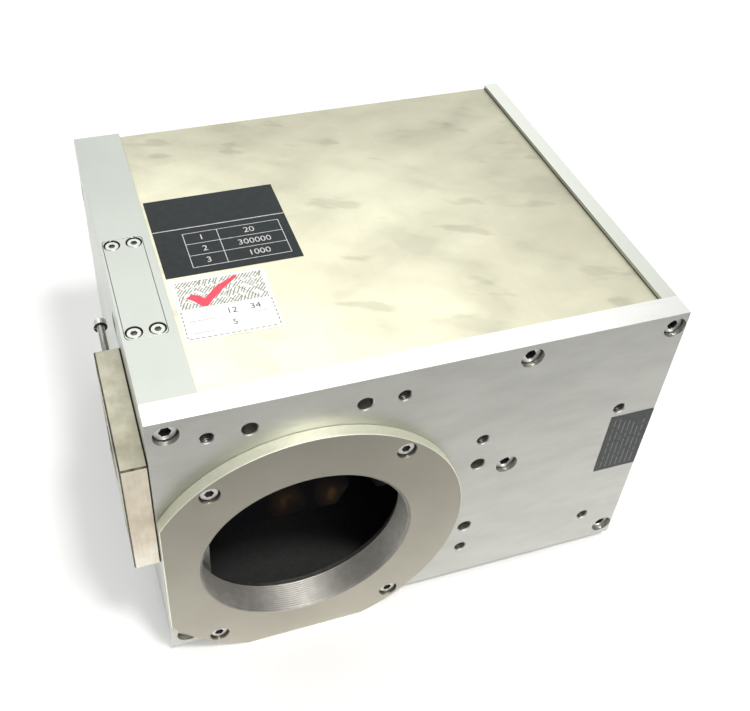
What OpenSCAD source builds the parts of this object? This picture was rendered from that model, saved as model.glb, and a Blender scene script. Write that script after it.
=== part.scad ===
// Two-axis galvanometer scanner head: a bolted box of plates that carries two
// galvanometers with their mirrors, their electronics and an objective ring.
// Millimetres. The origin lies on the objective axis, in the face of the
// adapter ring. -Y points to the work, +Z up, and the beam enters along +X.

/* [Housing] */
// Width across the two side walls
body_w = 207; // [200:1:230]
// Height of the walls and the front plate
body_h = 140; // [138:1:160]
// Depth from the front plate's face to the back
body_d = 175; // [172:1:200]
// Thickness of the front plate
front_t = 10; // [9.5:0.1:11]
// Thickness of the wall that the beam enters through
entrance_wall_t = 20; // [19:0.5:22]
// Thickness of the opposite wall
side_wall_t = 8; // [7.8:0.1:12]
// Thickness of the back plate
back_t = 8; // [7:0.5:12]
// Thickness of the top plate
top_t = 10; // [9:0.5:12]
// Thickness of the bottom cover
bottom_t = 4; // [3:0.5:6]
// Depth of the top plate and the bottom cover below the walls' edges
recess = 2; // [1:0.5:3]
// Width of the step in the side wall that carries the top plate's lip
step_w = 1.4; // [0.8:0.1:2]
// Depth of that step below the wall's edge
step_h = 4; // [3.5:0.1:4.2]
// Reach of the top plate's tongue into the entrance wall
tongue_w = 2; // [1:0.5:3]
// Thickness of that tongue
tongue_t = 3; // [2:0.5:5]
// Width of the ledge for the bottom cover in the entrance wall
ledge_w = 9; // [8:0.5:10]

/* [Objective ring] */
// Objective axis from the entrance side's face
axis_from_left = 56.5; // [56:0.5:62]
// Objective axis from the bottom edge
axis_from_bottom = 55.5; // [54:0.5:60]
// Core bore of the objective thread
thread_bore_d = 84; // [78:0.5:85]
// Bevel at the mouth of the thread
thread_bevel = 0.5; // [0.2:0.1:1]
// Outer diameter of the ring
ring_d = 130; // [129:0.5:134]
// Thickness of the ring in front of the plate
ring_t = 5; // [4.6:0.1:8]
// Flat of the ring beside the entrance, from the axis
ring_flat_side = 56.3; // [55:0.1:64]
// Flat of the ring at the bottom, from the axis
ring_flat_bottom = 60; // [58:0.5:64]
// Diameter of the ring's locating spigot
spigot_d = 96; // [94:0.5:98]
// Length of the spigot inside the front plate
spigot_l = 7.5; // [5:0.5:8.5]
// Clear bore in the front plate behind the spigot
clear_bore_d = 87; // [86:0.5:88]
// Spacing of the ring's screws across
ring_bolt_x = 74.5; // [73:0.5:76]
// Spacing of the ring's screws upwards
ring_bolt_z = 93.5; // [92:0.5:95]
// Middle diameter of the seal behind the ring
ring_seal_d = 104; // [102:0.5:107]

/* [Mounting face] */
// Distance of the mounting holes' rows from the objective axis
row_r = 72; // [70:0.5:73]
// Distance of the far row's holes from the objective axis
far_row_x = 132.6; // [124:0.5:136]
// Half spacing of the threaded holes
thread_half = 36; // [34:0.5:37]
// Half spacing of the dowel holes
dowel_half = 21; // [19:0.5:24]
// Core diameter of the threaded mounting holes
mount_core_d = 5; // [4:0.5:6]
// Diameter of the dowel holes
dowel_d = 6; // [4:0.5:7]
// Depth of the threaded and dowel holes
mount_depth = 9; // [6:0.5:9]

/* [Beam path] */
// Depth of the two mirrors behind the ring's face
beam_y = 45; // [44:0.5:47]
// Height of the entering beam above the objective axis
beam_z = 35.5; // [35:0.5:36]
// Bore of the beam entrance
entrance_bore_d = 32; // [28:0.5:33]
// Width of the entrance adapter block, front to back
adapter_w = 60; // [59:0.5:64]
// Height of the entrance adapter block
adapter_h = 57.5; // [57:0.5:64]
// Thickness of the entrance adapter block
adapter_t = 10; // [9.5:0.5:12]
// Bevel round the adapter block
adapter_bevel = 0.6; // [0.3:0.1:1]
// Height of the side screw above the beam
side_screw_z = 19; // [17:0.5:19]
// Length of the side screw that stands out
side_screw_out = 23; // [15:1:27]

/* [Port cover] */
// Width of the port cover in the entrance wall
port_w = 15.6; // [15.4:0.1:16]
// Length of the port cover
port_l = 58; // [56:0.5:62]
// Thickness of the port cover
port_t = 2.4; // [2.2:0.1:3]
// Middle of the port cover from the entrance side's face
port_x = 9; // [8.8:0.1:9.4]
// Middle of the port cover behind the ring's face
port_y = 75.2; // [72:0.1:80]
// Spacing of the port cover's screws across
port_screw_x = 8.6; // [8:0.1:9]
// Spacing of the port cover's screws lengthwise
port_screw_y = 51; // [48:0.5:52]

/* [Galvanometers] */
// Outer diameter of a galvanometer
galvo_d = 40; // [38:0.5:41]
// Length of a galvanometer's shell
galvo_l = 66; // [62:1:68]
// Length of its rear cap
galvo_cap_l = 18; // [16:1:20]
// Wall of the shell
galvo_wall = 3.5; // [3:0.5:4.5]
// Diameter of a rotor shaft
shaft_d = 8; // [6:0.5:9]
// Outer diameter of a shaft bearing
bearing_d = 16; // [14:0.5:18]
// Width of a shaft bearing
bearing_w = 5; // [4:0.5:6]
// Diameter of a rotor magnet
magnet_d = 15; // [13:0.5:18]
// Length of a rotor magnet
magnet_l = 36; // [30:1:38]
// Diameter of a position detector's vane
vane_d = 24; // [18:1:28]
// Thickness of the plates that hold the galvanometers
mount_t = 14; // [12:0.5:15]
// Wall of those plates round a galvanometer
eye_wall = 8; // [6:0.5:9]
// Middle of the X galvanometer's plate behind the ring's face
x_mount_y = 79; // [79:0.5:84]
// Middle of the Y galvanometer's plate beside the objective axis
y_mount_x = 85.5; // [80:0.5:90]
// Height of the screw that joins the Y plate to the front plate
y_front_screw_z = 16.3; // [12:0.1:18]

/* [Mirrors] */
// Thickness of a mirror
mirror_t = 3.5; // [2.5:0.5:4.5]
// Length of both mirrors across their shafts
mirror_l = 46; // [42:1:47]
// Width of the X mirror along its shaft
x_mirror_w = 32; // [30:1:33]
// Width of the Y mirror along its shaft
y_mirror_w = 58; // [54:1:60]
// Length of the X mirror's two end edges
x_mirror_end = 14; // [10:1:18]
// Length of the Y mirror's front edge
y_mirror_front = 43; // [36:1:46]
// Length of the Y mirror's rear edge
y_mirror_rear = 28; // [22:1:32]
// Width of the tongue that a mirror mount grips
mirror_tail_w = 12; // [10:1:14]
// Depth of that tongue in the mount
mirror_grip = 5; // [4:0.5:6]
// Length of a mirror mount
mirror_mount_l = 11; // [10.5:0.5:12]
// Diameter of a mirror mount
mirror_mount_d = 18; // [17:0.5:20]

/* [Electronics] */
// Thickness of the circuit boards
board_t = 1.6; // [1:0.1:2.4]
// Length of the two servo boards
board_l = 84; // [76:1:86]
// Height of the two servo boards
board_h = 104; // [90:1:108]
// Gap from the side wall to the first servo board
board_gap = 12; // [10:0.5:14]
// Gap between the two servo boards
board_pitch = 16; // [14:0.5:18]
// Width of the signal connector's flange
signal_w = 53; // [50:1:56]
// Width of the power connector's flange
power_w = 31; // [29:1:33]

/* [Fits] */
// Gap round screws and located pieces
fit = 0.05; // [0.02:0.01:0.1]
// Gap of a shaft in its bearings
running = 0.03; // [0.02:0.01:0.08]
// Gap beside the covers
cover_gap = 0.1; // [0.05:0.05:0.2]
// Gap round a screw head in its counterbore
head_gap = 0.4; // [0.3:0.05:0.45]
// Thickness of the labels
label_t = 0.2; // [0.1:0.05:0.4]

/* [Hidden] */
$fn = 64;
fine_fn = 180;
eps = 0.1;

// Faces of the box
left = -axis_from_left;
right = body_w - axis_from_left;
low = -axis_from_bottom;
high = body_h - axis_from_bottom;
face = ring_t;
inside = face + front_t;
back = face + body_d;
back_in = back - back_t;
wall_in = left + entrance_wall_t;
side_in = right - side_wall_t;
top_up = high - recess;
top_down = top_up - top_t;
top_mid = top_up - top_t / 2;
bottom_down = low + recess;
bottom_up = bottom_down + bottom_t;

// Screws: nominal diameters and the height of a low head
m3 = 3;
m4 = 4;
m5 = 5;
low_head = 2.2;
function head_d(d) = 1.5 * d + 1;

// Front plate screws: depth of their seats and distance from the edges
edge_screw = 7;
side_edge_screw = 4.9;
front_seat = front_t - 3;
front_screw_l = 16;
wall_front_screws = [
    for (x = [left + edge_screw, right - side_edge_screw])
        for (z = [low + edge_screw, high - edge_screw]) [x, z]
];
front_screws = concat(wall_front_screws, [[y_mount_x, top_mid], [y_mount_x, y_front_screw_z]]);
front_hole_l = front_screw_l + front_seat - front_t + 1;

// Mounting face
threaded = concat(
    [for (s = [-1, 1]) [s * thread_half, row_r]],
    [for (x = [row_r, far_row_x], s = [-1, 1]) [x, s * thread_half]]
);
dowels = concat(
    [for (s = [-1, 1]) [s * dowel_half, row_r]],
    [for (s = [-1, 1]) [row_r, s * dowel_half]]
);
mount_bevel = 0.4;

// Adapter ring
ring_seat = ring_t - 1.6;
ring_screw_l = 8;
ring_hole_l = ring_screw_l - 1.6 + 0.6;
ring_screws = [for (sx = [-1, 1], sz = [-1, 1]) [sx * ring_bolt_x / 2, sz * ring_bolt_z / 2]];
seal_cord = 2;

// Beam entrance
adapter_margin = 5.75;
adapter_screws = [
    for (y = [inside + 7, face + adapter_w - adapter_margin], s = [-1, 1])
        [y, beam_z + s * (adapter_h / 2 - adapter_margin)]
];
adapter_seat = 2.8;
adapter_screw_l = 14;
adapter_hole_l = adapter_screw_l - adapter_t + adapter_seat + 1;
side_screw_in = 7;
side_screw_x = left - adapter_t / 2;
entrance_seal_d = entrance_bore_d + 2 * seal_cord + 2;

// Port in the top of the entrance wall
port_at = [left + port_x, port_y];
port_corner = 2;
port_seat = port_t - 0.8;
port_screw_l = 5;
port_head = 1.3;
port_hollow_h = 6;
port_hollow = [port_w - 5, port_screw_y - 7];
port_screws = [
    for (sx = [-1, 1], sy = [-1, 1]) [port_at[0] + sx * port_screw_x / 2, port_at[1] + sy * port_screw_y / 2]
];

// Galvanometers: distances along the shaft from the front of the shell
play = 1;
x_galvo_u = x_mirror_w / 2 + mirror_mount_l + play;
y_galvo_u = y_mirror_w / 2 + mirror_mount_l + play;
lip = 1;
lip_step = 1.5;
shell_r = galvo_d / 2 - galvo_wall;
bell_r = shell_r + 1;
front_wall = lip + bearing_w;
bell_l = front_wall + 1;
bell_u = galvo_l - bell_l;
coil_u = front_wall + 4;
coil_l = bell_u - 4 - coil_u;
air_gap = 0.8;
magnet_u = coil_u + (coil_l - magnet_l) / 2;
vane_t = 1.2;
vane_u = galvo_l + 4;
detector_u = vane_u + vane_t + 3;
cap_wall = 2;
cap_r = galvo_d / 2 - cap_wall;
shaft_grip = mirror_mount_l - mirror_grip - 1;
shaft_end = vane_u + vane_t + 1;
diode_l = 5;
diode_w = 3;
diode_t = 0.9;
plug_l = 12;
plug_w = 4;
plug_h = 4;
cap_shoulder = 2;
lead_hole = 8;

// Plates that hold the galvanometers
eye_d = galvo_d + 2 * eye_wall;
ear_half = 9;
clamp_slit = 2;
clamp_bolt = galvo_d / 2 + 6;
ear_out = clamp_bolt + 5;
clamp_screw_l = 16;
foot_t = 14;
plate_top_gap = 0.5;
x_plate_up = top_down - plate_top_gap - beam_z;
x_plate_down = 34;
x_plate_screw_zs = [beam_z - x_plate_down + 5.5, beam_z + x_plate_up - 8];
plate_seat = 7;
plate_screw_l = 25;
plate_hole_l = plate_screw_l + plate_seat - entrance_wall_t + 1;

// Servo boards: the one nearest the side wall drives the Y galvanometer
board_back = 14;
board_y = back_in - board_back - board_l;
board_z = (bottom_up + top_down - board_h) / 2;
board_margin = 5;
y_board_x = side_in - board_gap - board_t;
x_board_x = y_board_x - board_pitch - board_t;
board_holes = [
    for (sy = [0, 1], sz = [0, 1])
        [board_y + board_margin + sy * (board_l - 2 * board_margin),
         board_z + board_margin + sz * (board_h - 2 * board_margin)]
];
spacer_d = 6;
stud_l = 6;
spacer_screw_in = 6;
board_screw_l = 8;
part_gap = 14;
sink_out = 9;
sink_l = 50;
sink_h = 16;
chip_out = 2.5;
chip_side = 14;
chip_pitch = 18;
chip_up = 44;
header_out = 8;
header_l = 6;
header_h = 30;
header_gap = 9;
can_d = 10;
can_h = 9;
can_in = 7;
can_up = 22;
can_pitch = 16;

// Connectors on the back plate
connector_h = 12.5;
connector_side = 7;
connector_shell = 6;
connector_body = 11;
flange_t = 1;
signal_at = [40, 30];
power_at = [40, -10];
jack_inset = 3;
jack_af = 4.8;
jack_l = 5;
jack_stud = 7;
pin_pitch = 2.77;
pin_row = 2.84;
pin_d = 1.1;

// Screws in the walls, the back plate and the bottom cover
wall_seat = side_wall_t - 3.6;
wall_screw_l = 12;
wall_hole_l = wall_screw_l - 3.6 + 1;
top_screw_in = 22;
top_screw_ys = [inside + top_screw_in, (inside + back) / 2, back - top_screw_in];
back_mid = back - back_t / 2;
back_screw_in = 14;
back_screw_zs = [bottom_up + back_screw_in, top_down - back_screw_in];
back_seat = entrance_wall_t - 3.6;
cover_screw_l = 10;
cover_hole_l = cover_screw_l - bottom_t + 1;
cover_screw_in = 16;
back_cover_xs = [wall_in + cover_screw_in, (wall_in + side_in) / 2, side_in - cover_screw_in];
plate_cover_in = 13;
plate_cover_pitch = 32;
plate_cover_ys = [inside + plate_cover_in, inside + plate_cover_in + plate_cover_pitch];
ledge_screw_in = 15;
ledge_cover_ys = [inside + ledge_screw_in, (inside + back) / 2, back - 2 * ledge_screw_in];
bottom_screws = concat(
    [for (x = back_cover_xs) [x, back_mid]],
    [for (y = plate_cover_ys) [y_mount_x, y]],
    [for (y = ledge_cover_ys) [wall_in - ledge_w / 2, y]]
);

// Labels
rating_w = 54.8;
rating_l = 50;
rating_in = 21.4;
rating_y = 77.6;
sticker_w = 36.6;
sticker_l = 33.8;
sticker_in = 40.2;
sticker_y = 58;
sticker_turn = -1;
front_label_w = 19.8;
front_label_h = 34.9;
front_label_in = 0.2;
front_label_z = -4.1;

// Turns a piece that is drawn upright so that its top points that way
module to_front() rotate([90, 0, 0]) children();
module to_back() rotate([-90, 0, 0]) children();
module to_left() rotate([0, -90, 0]) children();
module to_right() rotate([0, 90, 0]) children();
module to_down() rotate([180, 0, 0]) children();

// A socket cap screw: its seat at z = 0 and its head above
module cap_screw(d, l, head_h) {
    bevel = 0.08 * d;
    difference() {
        union() {
            cylinder(d = head_d(d), h = head_h - bevel);
            translate([0, 0, head_h - bevel])
                cylinder(d1 = head_d(d), d2 = head_d(d) - 2 * bevel, h = bevel);
            translate([0, 0, -l])
                cylinder(d = d, h = l + eps);
        }
        translate([0, 0, 0.45 * head_h])
            cylinder(d = 0.8 * d * 2 / sqrt(3), h = head_h, $fn = 6);
    }
}

// A countersunk screw: the top of its head at z = 0
module flat_screw(d, l) {
    head_h = 0.5 * d;
    difference() {
        union() {
            translate([0, 0, -head_h])
                cylinder(d1 = d, d2 = 2 * d, h = head_h);
            translate([0, 0, -l])
                cylinder(d = d, h = l - head_h + eps);
        }
        translate([0, 0, -0.3 * d])
            cylinder(d = 0.6 * d * 2 / sqrt(3), h = d, $fn = 6);
    }
}

// The hole for a cap screw, downwards from the surface at z = 0
module cap_hole(d, seat, l) {
    translate([0, 0, -seat])
        cylinder(d = head_d(d) + 2 * head_gap, h = seat + eps);
    screw_hole(d, seat + l);
}

// The hole for a countersunk screw, downwards from the surface at z = 0
module flat_hole(d, l) {
    head_h = 0.5 * d;
    translate([0, 0, -head_h - fit])
        cylinder(d1 = d, d2 = 2 * d + 2 * (fit + eps), h = head_h + fit + eps);
    screw_hole(d, l);
}

module screw_hole(d, l) {
    translate([0, 0, -l])
        cylinder(d = d + 2 * fit, h = l + eps);
}

module seal(d) {
    rotate_extrude()
        translate([d / 2, 0])
            circle(d = seal_cord, $fn = 32);
}

// The groove for a seal, downwards from the surface at z = 0
module seal_groove(d) {
    translate([0, 0, -seal_cord - 2 * fit])
        difference() {
            cylinder(d = d + seal_cord + 2 * fit, h = seal_cord + 2 * fit + eps, $fn = fine_fn);
            translate([0, 0, -eps])
                cylinder(d = d - seal_cord - 2 * fit, h = seal_cord + 1, $fn = fine_fn);
        }
}

module tube(d_out, d_in, h) {
    difference() {
        cylinder(d = d_out, h = h);
        translate([0, 0, -eps])
            cylinder(d = d_in, h = h + 2 * eps);
    }
}

module rounded_rect(w, l, r) {
    square([w - 2 * r, l], center = true);
    square([w, l - 2 * r], center = true);
    for (sx = [-1, 1], sy = [-1, 1])
        translate([sx * (w / 2 - r), sy * (l / 2 - r)])
            circle(r = r);
}

// Front plate: spigot seat, mounting holes and counterbored screw holes
module front_plate() {
    color([0.80, 0.80, 0.78])
    difference() {
        translate([left, face, low])
            cube([body_w, front_t, body_h]);
        translate([0, inside + eps, 0])
            to_front()
                cylinder(d = clear_bore_d, h = front_t + 2 * eps, $fn = fine_fn);
        translate([0, face + spigot_l + fit, 0])
            to_front()
                cylinder(d = spigot_d + 2 * fit, h = spigot_l + 1, $fn = fine_fn);
        for (p = front_screws)
            front_hole(p)
                cap_hole(m5, front_seat, front_t);
        for (p = threaded)
            front_hole(p)
                bevelled_hole(mount_core_d);
        for (p = dowels)
            front_hole(p)
                bevelled_hole(dowel_d);
        for (p = ring_screws)
            front_hole(p)
                screw_hole(m4, ring_hole_l);
    }
}

module front_hole(p) {
    translate([p[0], face, p[1]])
        to_front()
            children();
}

module bevelled_hole(d) {
    translate([0, 0, -mount_depth])
        cylinder(d = d, h = mount_depth + eps);
    translate([0, 0, -mount_bevel])
        cylinder(d1 = d, d2 = d + 2 * (mount_bevel + eps), h = mount_bevel + eps);
}

// Wall that the beam enters through: bore, port, tongue groove and ledge
module entrance_wall() {
    color([0.86, 0.87, 0.86])
    difference() {
        translate([left, inside, low])
            cube([entrance_wall_t, back - inside, body_h]);
        translate([left - eps, beam_y, beam_z])
            to_right()
                cylinder(d = entrance_bore_d, h = entrance_wall_t + 2 * eps, $fn = fine_fn);
        translate([left, beam_y, beam_z])
            to_left()
                seal_groove(entrance_seal_d);
        for (p = adapter_screws)
            translate([left, p[0], p[1]])
                to_left()
                    screw_hole(m4, adapter_hole_l);
        port_cuts();
        translate([wall_in - tongue_w - fit, inside - eps, top_mid - tongue_t / 2 - fit])
            cube([tongue_w + 1, back - inside + 2 * eps, tongue_t + 2 * fit]);
        translate([wall_in - ledge_w - cover_gap, inside - eps, low - eps])
            cube([ledge_w + 1, back - inside + 2 * eps, bottom_up - low + eps]);
        for (y = ledge_cover_ys)
            translate([wall_in - ledge_w / 2, y, bottom_up])
                to_down()
                    screw_hole(m3, cover_hole_l);
        for (p = wall_front_screws)
            if (p[0] < 0)
                translate([p[0], inside, p[1]])
                    to_front()
                        screw_hole(m5, front_hole_l);
        for (z = x_plate_screw_zs)
            translate([left, x_mount_y, z])
                to_left()
                    cap_hole(m5, plate_seat, entrance_wall_t);
        for (z = back_screw_zs)
            translate([left, back_mid, z])
                to_left()
                    cap_hole(m4, back_seat, entrance_wall_t);
    }
}

// The recess for the port cover and the hollow under it
module port_cuts() {
    translate([port_at[0], port_at[1], high - port_t])
        linear_extrude(port_t + eps)
            rounded_rect(port_w + 2 * cover_gap, port_l + 2 * cover_gap, port_corner + cover_gap);
    translate([port_at[0], port_at[1], high - port_t - port_hollow_h])
        linear_extrude(port_hollow_h + eps)
            square(port_hollow, center = true);
    for (p = port_screws)
        translate([p[0], p[1], high - port_t])
            screw_hole(m3, port_screw_l);
}

// Wall opposite the entrance, with a step at the top for the top plate's lip
module side_wall() {
    color([0.86, 0.87, 0.86])
    difference() {
        translate([side_in, inside, low])
            cube([side_wall_t, back - inside, body_h]);
        translate([side_in - eps, inside - eps, high - step_h])
            cube([step_w + eps, back - inside + 2 * eps, step_h + eps]);
        for (p = wall_front_screws)
            if (p[0] > 0)
                translate([p[0], inside, p[1]])
                    to_front()
                        screw_hole(m5, front_hole_l);
        for (y = top_screw_ys)
            translate([right, y, top_mid])
                to_right()
                    cap_hole(m4, wall_seat, side_wall_t);
        for (z = back_screw_zs)
            translate([right, back_mid, z])
                to_right()
                    cap_hole(m4, wall_seat, side_wall_t);
        for (p = board_holes)
            translate([right, p[0], p[1]])
                to_right()
                    flat_hole(m3, side_wall_t + eps);
    }
}

// Back plate between the walls, with the connectors' cut-outs
module back_plate() {
    color([0.80, 0.80, 0.78])
    difference() {
        translate([wall_in + cover_gap, back_in, bottom_up])
            cube([side_in - wall_in - 2 * cover_gap, back_t, top_down - bottom_up]);
        connector_cut(signal_at, signal_w);
        connector_cut(power_at, power_w);
        for (z = back_screw_zs) {
            translate([wall_in + cover_gap, back_mid, z])
                to_left()
                    screw_hole(m4, wall_hole_l);
            translate([side_in - cover_gap, back_mid, z])
                to_right()
                    screw_hole(m4, wall_hole_l);
        }
        for (x = back_cover_xs)
            translate([x, back_mid, bottom_up])
                to_down()
                    screw_hole(m3, cover_hole_l);
    }
}

// Cut-out for a connector's body, and the holes of its jackscrews
module connector_cut(at, w) {
    body_cut = [w - 2 * connector_side + 2 * cover_gap, connector_h - 3 + 2 * cover_gap];
    translate([at[0], back - back_t / 2, at[1]])
        cube([body_cut[0], back_t + 2 * eps, body_cut[1]], center = true);
    for (s = [-1, 1])
        translate([at[0] + s * (w / 2 - jack_inset), back, at[1]])
            to_back()
                screw_hole(m3, back_t + eps);
}

// Top plate: its tongue lies in the entrance wall, its lip on the side wall's step
module top_plate() {
    color([0.80, 0.77, 0.66])
    difference() {
        union() {
            translate([wall_in + cover_gap, inside, top_down])
                cube([side_in - wall_in - 2 * cover_gap, back - inside, top_t]);
            translate([wall_in - tongue_w, inside, top_mid - tongue_t / 2])
                cube([tongue_w + 1, back - inside, tongue_t]);
            translate([side_in - 1, inside, high - step_h])
                cube([step_w - cover_gap + 1, back - inside, step_h - recess]);
        }
        translate([y_mount_x, inside, top_mid])
            to_front()
                screw_hole(m5, front_hole_l);
        for (y = top_screw_ys)
            translate([side_in - cover_gap, y, top_mid])
                to_right()
                    screw_hole(m4, wall_hole_l);
    }
}

// Bottom cover on the entrance wall's ledge, the Y plate and the back plate
module bottom_cover() {
    color([0.80, 0.80, 0.78])
    difference() {
        translate([wall_in - ledge_w, inside, bottom_down])
            cube([side_in - wall_in + ledge_w - cover_gap, back - inside, bottom_t]);
        for (p = bottom_screws)
            translate([p[0], p[1], bottom_down])
                to_down()
                    flat_hole(m3, bottom_t + eps);
    }
}

module front_plate_screws() {
    color([0.72, 0.72, 0.70])
    for (p = front_screws)
        translate([p[0], face + front_seat, p[1]])
            to_front()
                cap_screw(m5, front_screw_l, m5);
}

module top_plate_screws() {
    color([0.72, 0.72, 0.70])
    for (y = top_screw_ys)
        translate([right - wall_seat, y, top_mid])
            to_right()
                cap_screw(m4, wall_screw_l, m4);
}

module back_plate_screws() {
    color([0.72, 0.72, 0.70])
    for (z = back_screw_zs) {
        translate([right - wall_seat, back_mid, z])
            to_right()
                cap_screw(m4, wall_screw_l, m4);
        translate([left + back_seat, back_mid, z])
            to_left()
                cap_screw(m4, wall_screw_l, m4);
    }
}

module bottom_cover_screws() {
    color([0.72, 0.72, 0.70])
    for (p = bottom_screws)
        translate([p[0], p[1], bottom_down])
            to_down()
                flat_screw(m3, cover_screw_l);
}

// Objective adapter ring: two flats, a spigot, a seal groove and low screws
module adapter_ring() {
    color([0.66, 0.64, 0.58])
    difference() {
        union() {
            intersection() {
                translate([0, ring_t, 0])
                    to_front()
                        cylinder(d = ring_d, h = ring_t, $fn = fine_fn);
                translate([-ring_flat_side, -eps, -ring_flat_bottom])
                    cube([ring_flat_side + ring_d, ring_t + 2 * eps, ring_flat_bottom + ring_d]);
            }
            translate([0, ring_t + spigot_l, 0])
                to_front()
                    cylinder(d = spigot_d, h = spigot_l + eps, $fn = fine_fn);
        }
        translate([0, ring_t + spigot_l + eps, 0])
            to_front()
                cylinder(d = thread_bore_d, h = ring_t + spigot_l + 2 * eps, $fn = fine_fn);
        translate([0, thread_bevel, 0])
            to_front()
                cylinder(d1 = thread_bore_d, d2 = thread_bore_d + 2 * (thread_bevel + eps),
                         h = thread_bevel + eps, $fn = fine_fn);
        translate([0, ring_t, 0])
            to_back()
                seal_groove(ring_seal_d);
        for (p = ring_screws)
            translate([p[0], 0, p[1]])
                to_front()
                    cap_hole(m4, ring_seat, ring_t);
    }
}

module adapter_ring_screws() {
    color([0.72, 0.72, 0.70])
    for (p = ring_screws)
        translate([p[0], ring_seat, p[1]])
            to_front()
                cap_screw(m4, ring_screw_l, low_head);
}

module ring_seal() {
    color([0.1, 0.1, 0.1])
    translate([0, ring_t - fit - seal_cord / 2, 0])
        to_back()
            seal(ring_seal_d);
}

// A box with all its edges bevelled, its first corner at the origin
module bevelled_box(size, b) {
    intersection() {
        linear_extrude(size[2])
            bevelled_rect(size[0], size[1], b);
        translate([0, size[1], 0])
            rotate([90, 0, 0])
                linear_extrude(size[1])
                    bevelled_rect(size[0], size[2], b);
        rotate([90, 0, 90])
            linear_extrude(size[0])
                bevelled_rect(size[1], size[2], b);
    }
}

module bevelled_rect(w, h, b) {
    polygon([[b, 0], [w - b, 0], [w, b], [w, h - b], [w - b, h], [b, h], [0, h - b], [0, b]]);
}

// Block on the outside that a beam tube or collimator bolts to
module entrance_adapter() {
    color([0.62, 0.59, 0.52])
    difference() {
        translate([left - adapter_t, face, beam_z - adapter_h / 2])
            bevelled_box([adapter_t, adapter_w, adapter_h], adapter_bevel);
        translate([left - adapter_t - eps, beam_y, beam_z])
            to_right()
                cylinder(d = entrance_bore_d, h = adapter_t + 2 * eps, $fn = fine_fn);
        for (p = adapter_screws)
            translate([left - adapter_t, p[0], p[1]])
                to_left()
                    cap_hole(m4, adapter_seat, adapter_t);
        translate([side_screw_x, face + adapter_w, beam_z + side_screw_z])
            to_back()
                screw_hole(m3, side_screw_in + 1);
    }
}

module entrance_adapter_screws() {
    color([0.72, 0.72, 0.70])
    for (p = adapter_screws)
        translate([left - adapter_t + adapter_seat, p[0], p[1]])
            to_left()
                cap_screw(m4, adapter_screw_l, low_head);
}

module entrance_seal() {
    color([0.1, 0.1, 0.1])
    translate([left + fit + seal_cord / 2, beam_y, beam_z])
        to_right()
            seal(entrance_seal_d);
}

// Long cap screw that stands out of the block's rear edge
module side_screw() {
    color([0.72, 0.72, 0.70])
    translate([side_screw_x, face + adapter_w + side_screw_out, beam_z + side_screw_z])
        to_back()
            cap_screw(m3, side_screw_out + side_screw_in, m3);
}

module port_cover() {
    color([0.86, 0.87, 0.86])
    difference() {
        translate([port_at[0], port_at[1], high - port_t])
            linear_extrude(port_t)
                rounded_rect(port_w, port_l, port_corner);
        for (p = port_screws)
            translate([p[0], p[1], high])
                cap_hole(m3, port_seat, port_t);
    }
}

module port_cover_screws() {
    color([0.72, 0.72, 0.70])
    for (p = port_screws)
        translate([p[0], p[1], high - port_seat])
            cap_screw(m3, port_screw_l, port_head);
}

// Outline of a galvanometer's eye with its slit ear, the bore at the origin
module eye() {
    circle(d = eye_d, $fn = 96);
    translate([0, -ear_half])
        square([ear_out, 2 * ear_half]);
}

module eye_cuts() {
    circle(d = galvo_d + 2 * fit, $fn = 96);
    translate([0, -clamp_slit / 2])
        square([ear_out + 1, clamp_slit]);
}

// The clamp screw's hole through the ear, from above
module ear_hole() {
    translate([clamp_bolt, 0, eye_d / 2])
        cap_hole(m4, eye_d / 2 - ear_half, 2 * ear_half + eps);
}

// Plate that clamps the X galvanometer, bolted to the entrance wall
module x_galvo_plate() {
    color([0.70, 0.71, 0.72])
    difference() {
        translate([0, x_mount_y + mount_t / 2, beam_z])
            to_front()
                linear_extrude(mount_t)
                    difference() {
                        union() {
                            eye();
                            translate([wall_in, -eye_d / 2])
                                square([-wall_in, eye_d]);
                            translate([wall_in, -x_plate_down])
                                square([foot_t, x_plate_down + x_plate_up]);
                        }
                        eye_cuts();
                        translate([wall_in, x_plate_up])
                            square([ear_out - wall_in, eye_d]);
                    }
        translate([0, x_mount_y, beam_z])
            ear_hole();
        for (z = x_plate_screw_zs)
            translate([wall_in, x_mount_y, z])
                to_left()
                    screw_hole(m5, plate_hole_l);
    }
}

// Standing plate that clamps the Y galvanometer behind the front plate
module y_galvo_plate() {
    color([0.70, 0.71, 0.72])
    difference() {
        translate([y_mount_x - mount_t / 2, beam_y, 0])
            rotate([90, 0, 90])
                linear_extrude(mount_t)
                    difference() {
                        union() {
                            eye();
                            translate([inside - beam_y, -eye_d / 2])
                                square([beam_y - inside, eye_d]);
                            translate([inside - beam_y, bottom_up])
                                square([beam_y - inside + eye_d / 2, -bottom_up]);
                        }
                        eye_cuts();
                    }
        translate([y_mount_x, beam_y, 0])
            rotate([0, 0, 90])
                ear_hole();
        translate([y_mount_x, inside, y_front_screw_z])
            to_front()
                screw_hole(m5, front_hole_l);
        for (y = plate_cover_ys)
            translate([y_mount_x, y, bottom_up])
                to_down()
                    screw_hole(m3, cover_hole_l);
    }
}

module x_galvo_plate_screws() {
    color([0.72, 0.72, 0.70])
    for (z = x_plate_screw_zs)
        translate([left + plate_seat, x_mount_y, z])
            to_left()
                cap_screw(m5, plate_screw_l, m5);
}

module galvo_clamp_screws() {
    color([0.72, 0.72, 0.70]) {
        translate([clamp_bolt, x_mount_y, beam_z + ear_half])
            cap_screw(m4, clamp_screw_l, m4);
        translate([y_mount_x, beam_y + clamp_bolt, ear_half])
            cap_screw(m4, clamp_screw_l, m4);
    }
}

// Places a galvanometer's piece: the shell's front at z = 0, the mirror below
module at_x() {
    translate([0, beam_y + x_galvo_u, beam_z])
        to_back()
            children();
}

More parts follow.
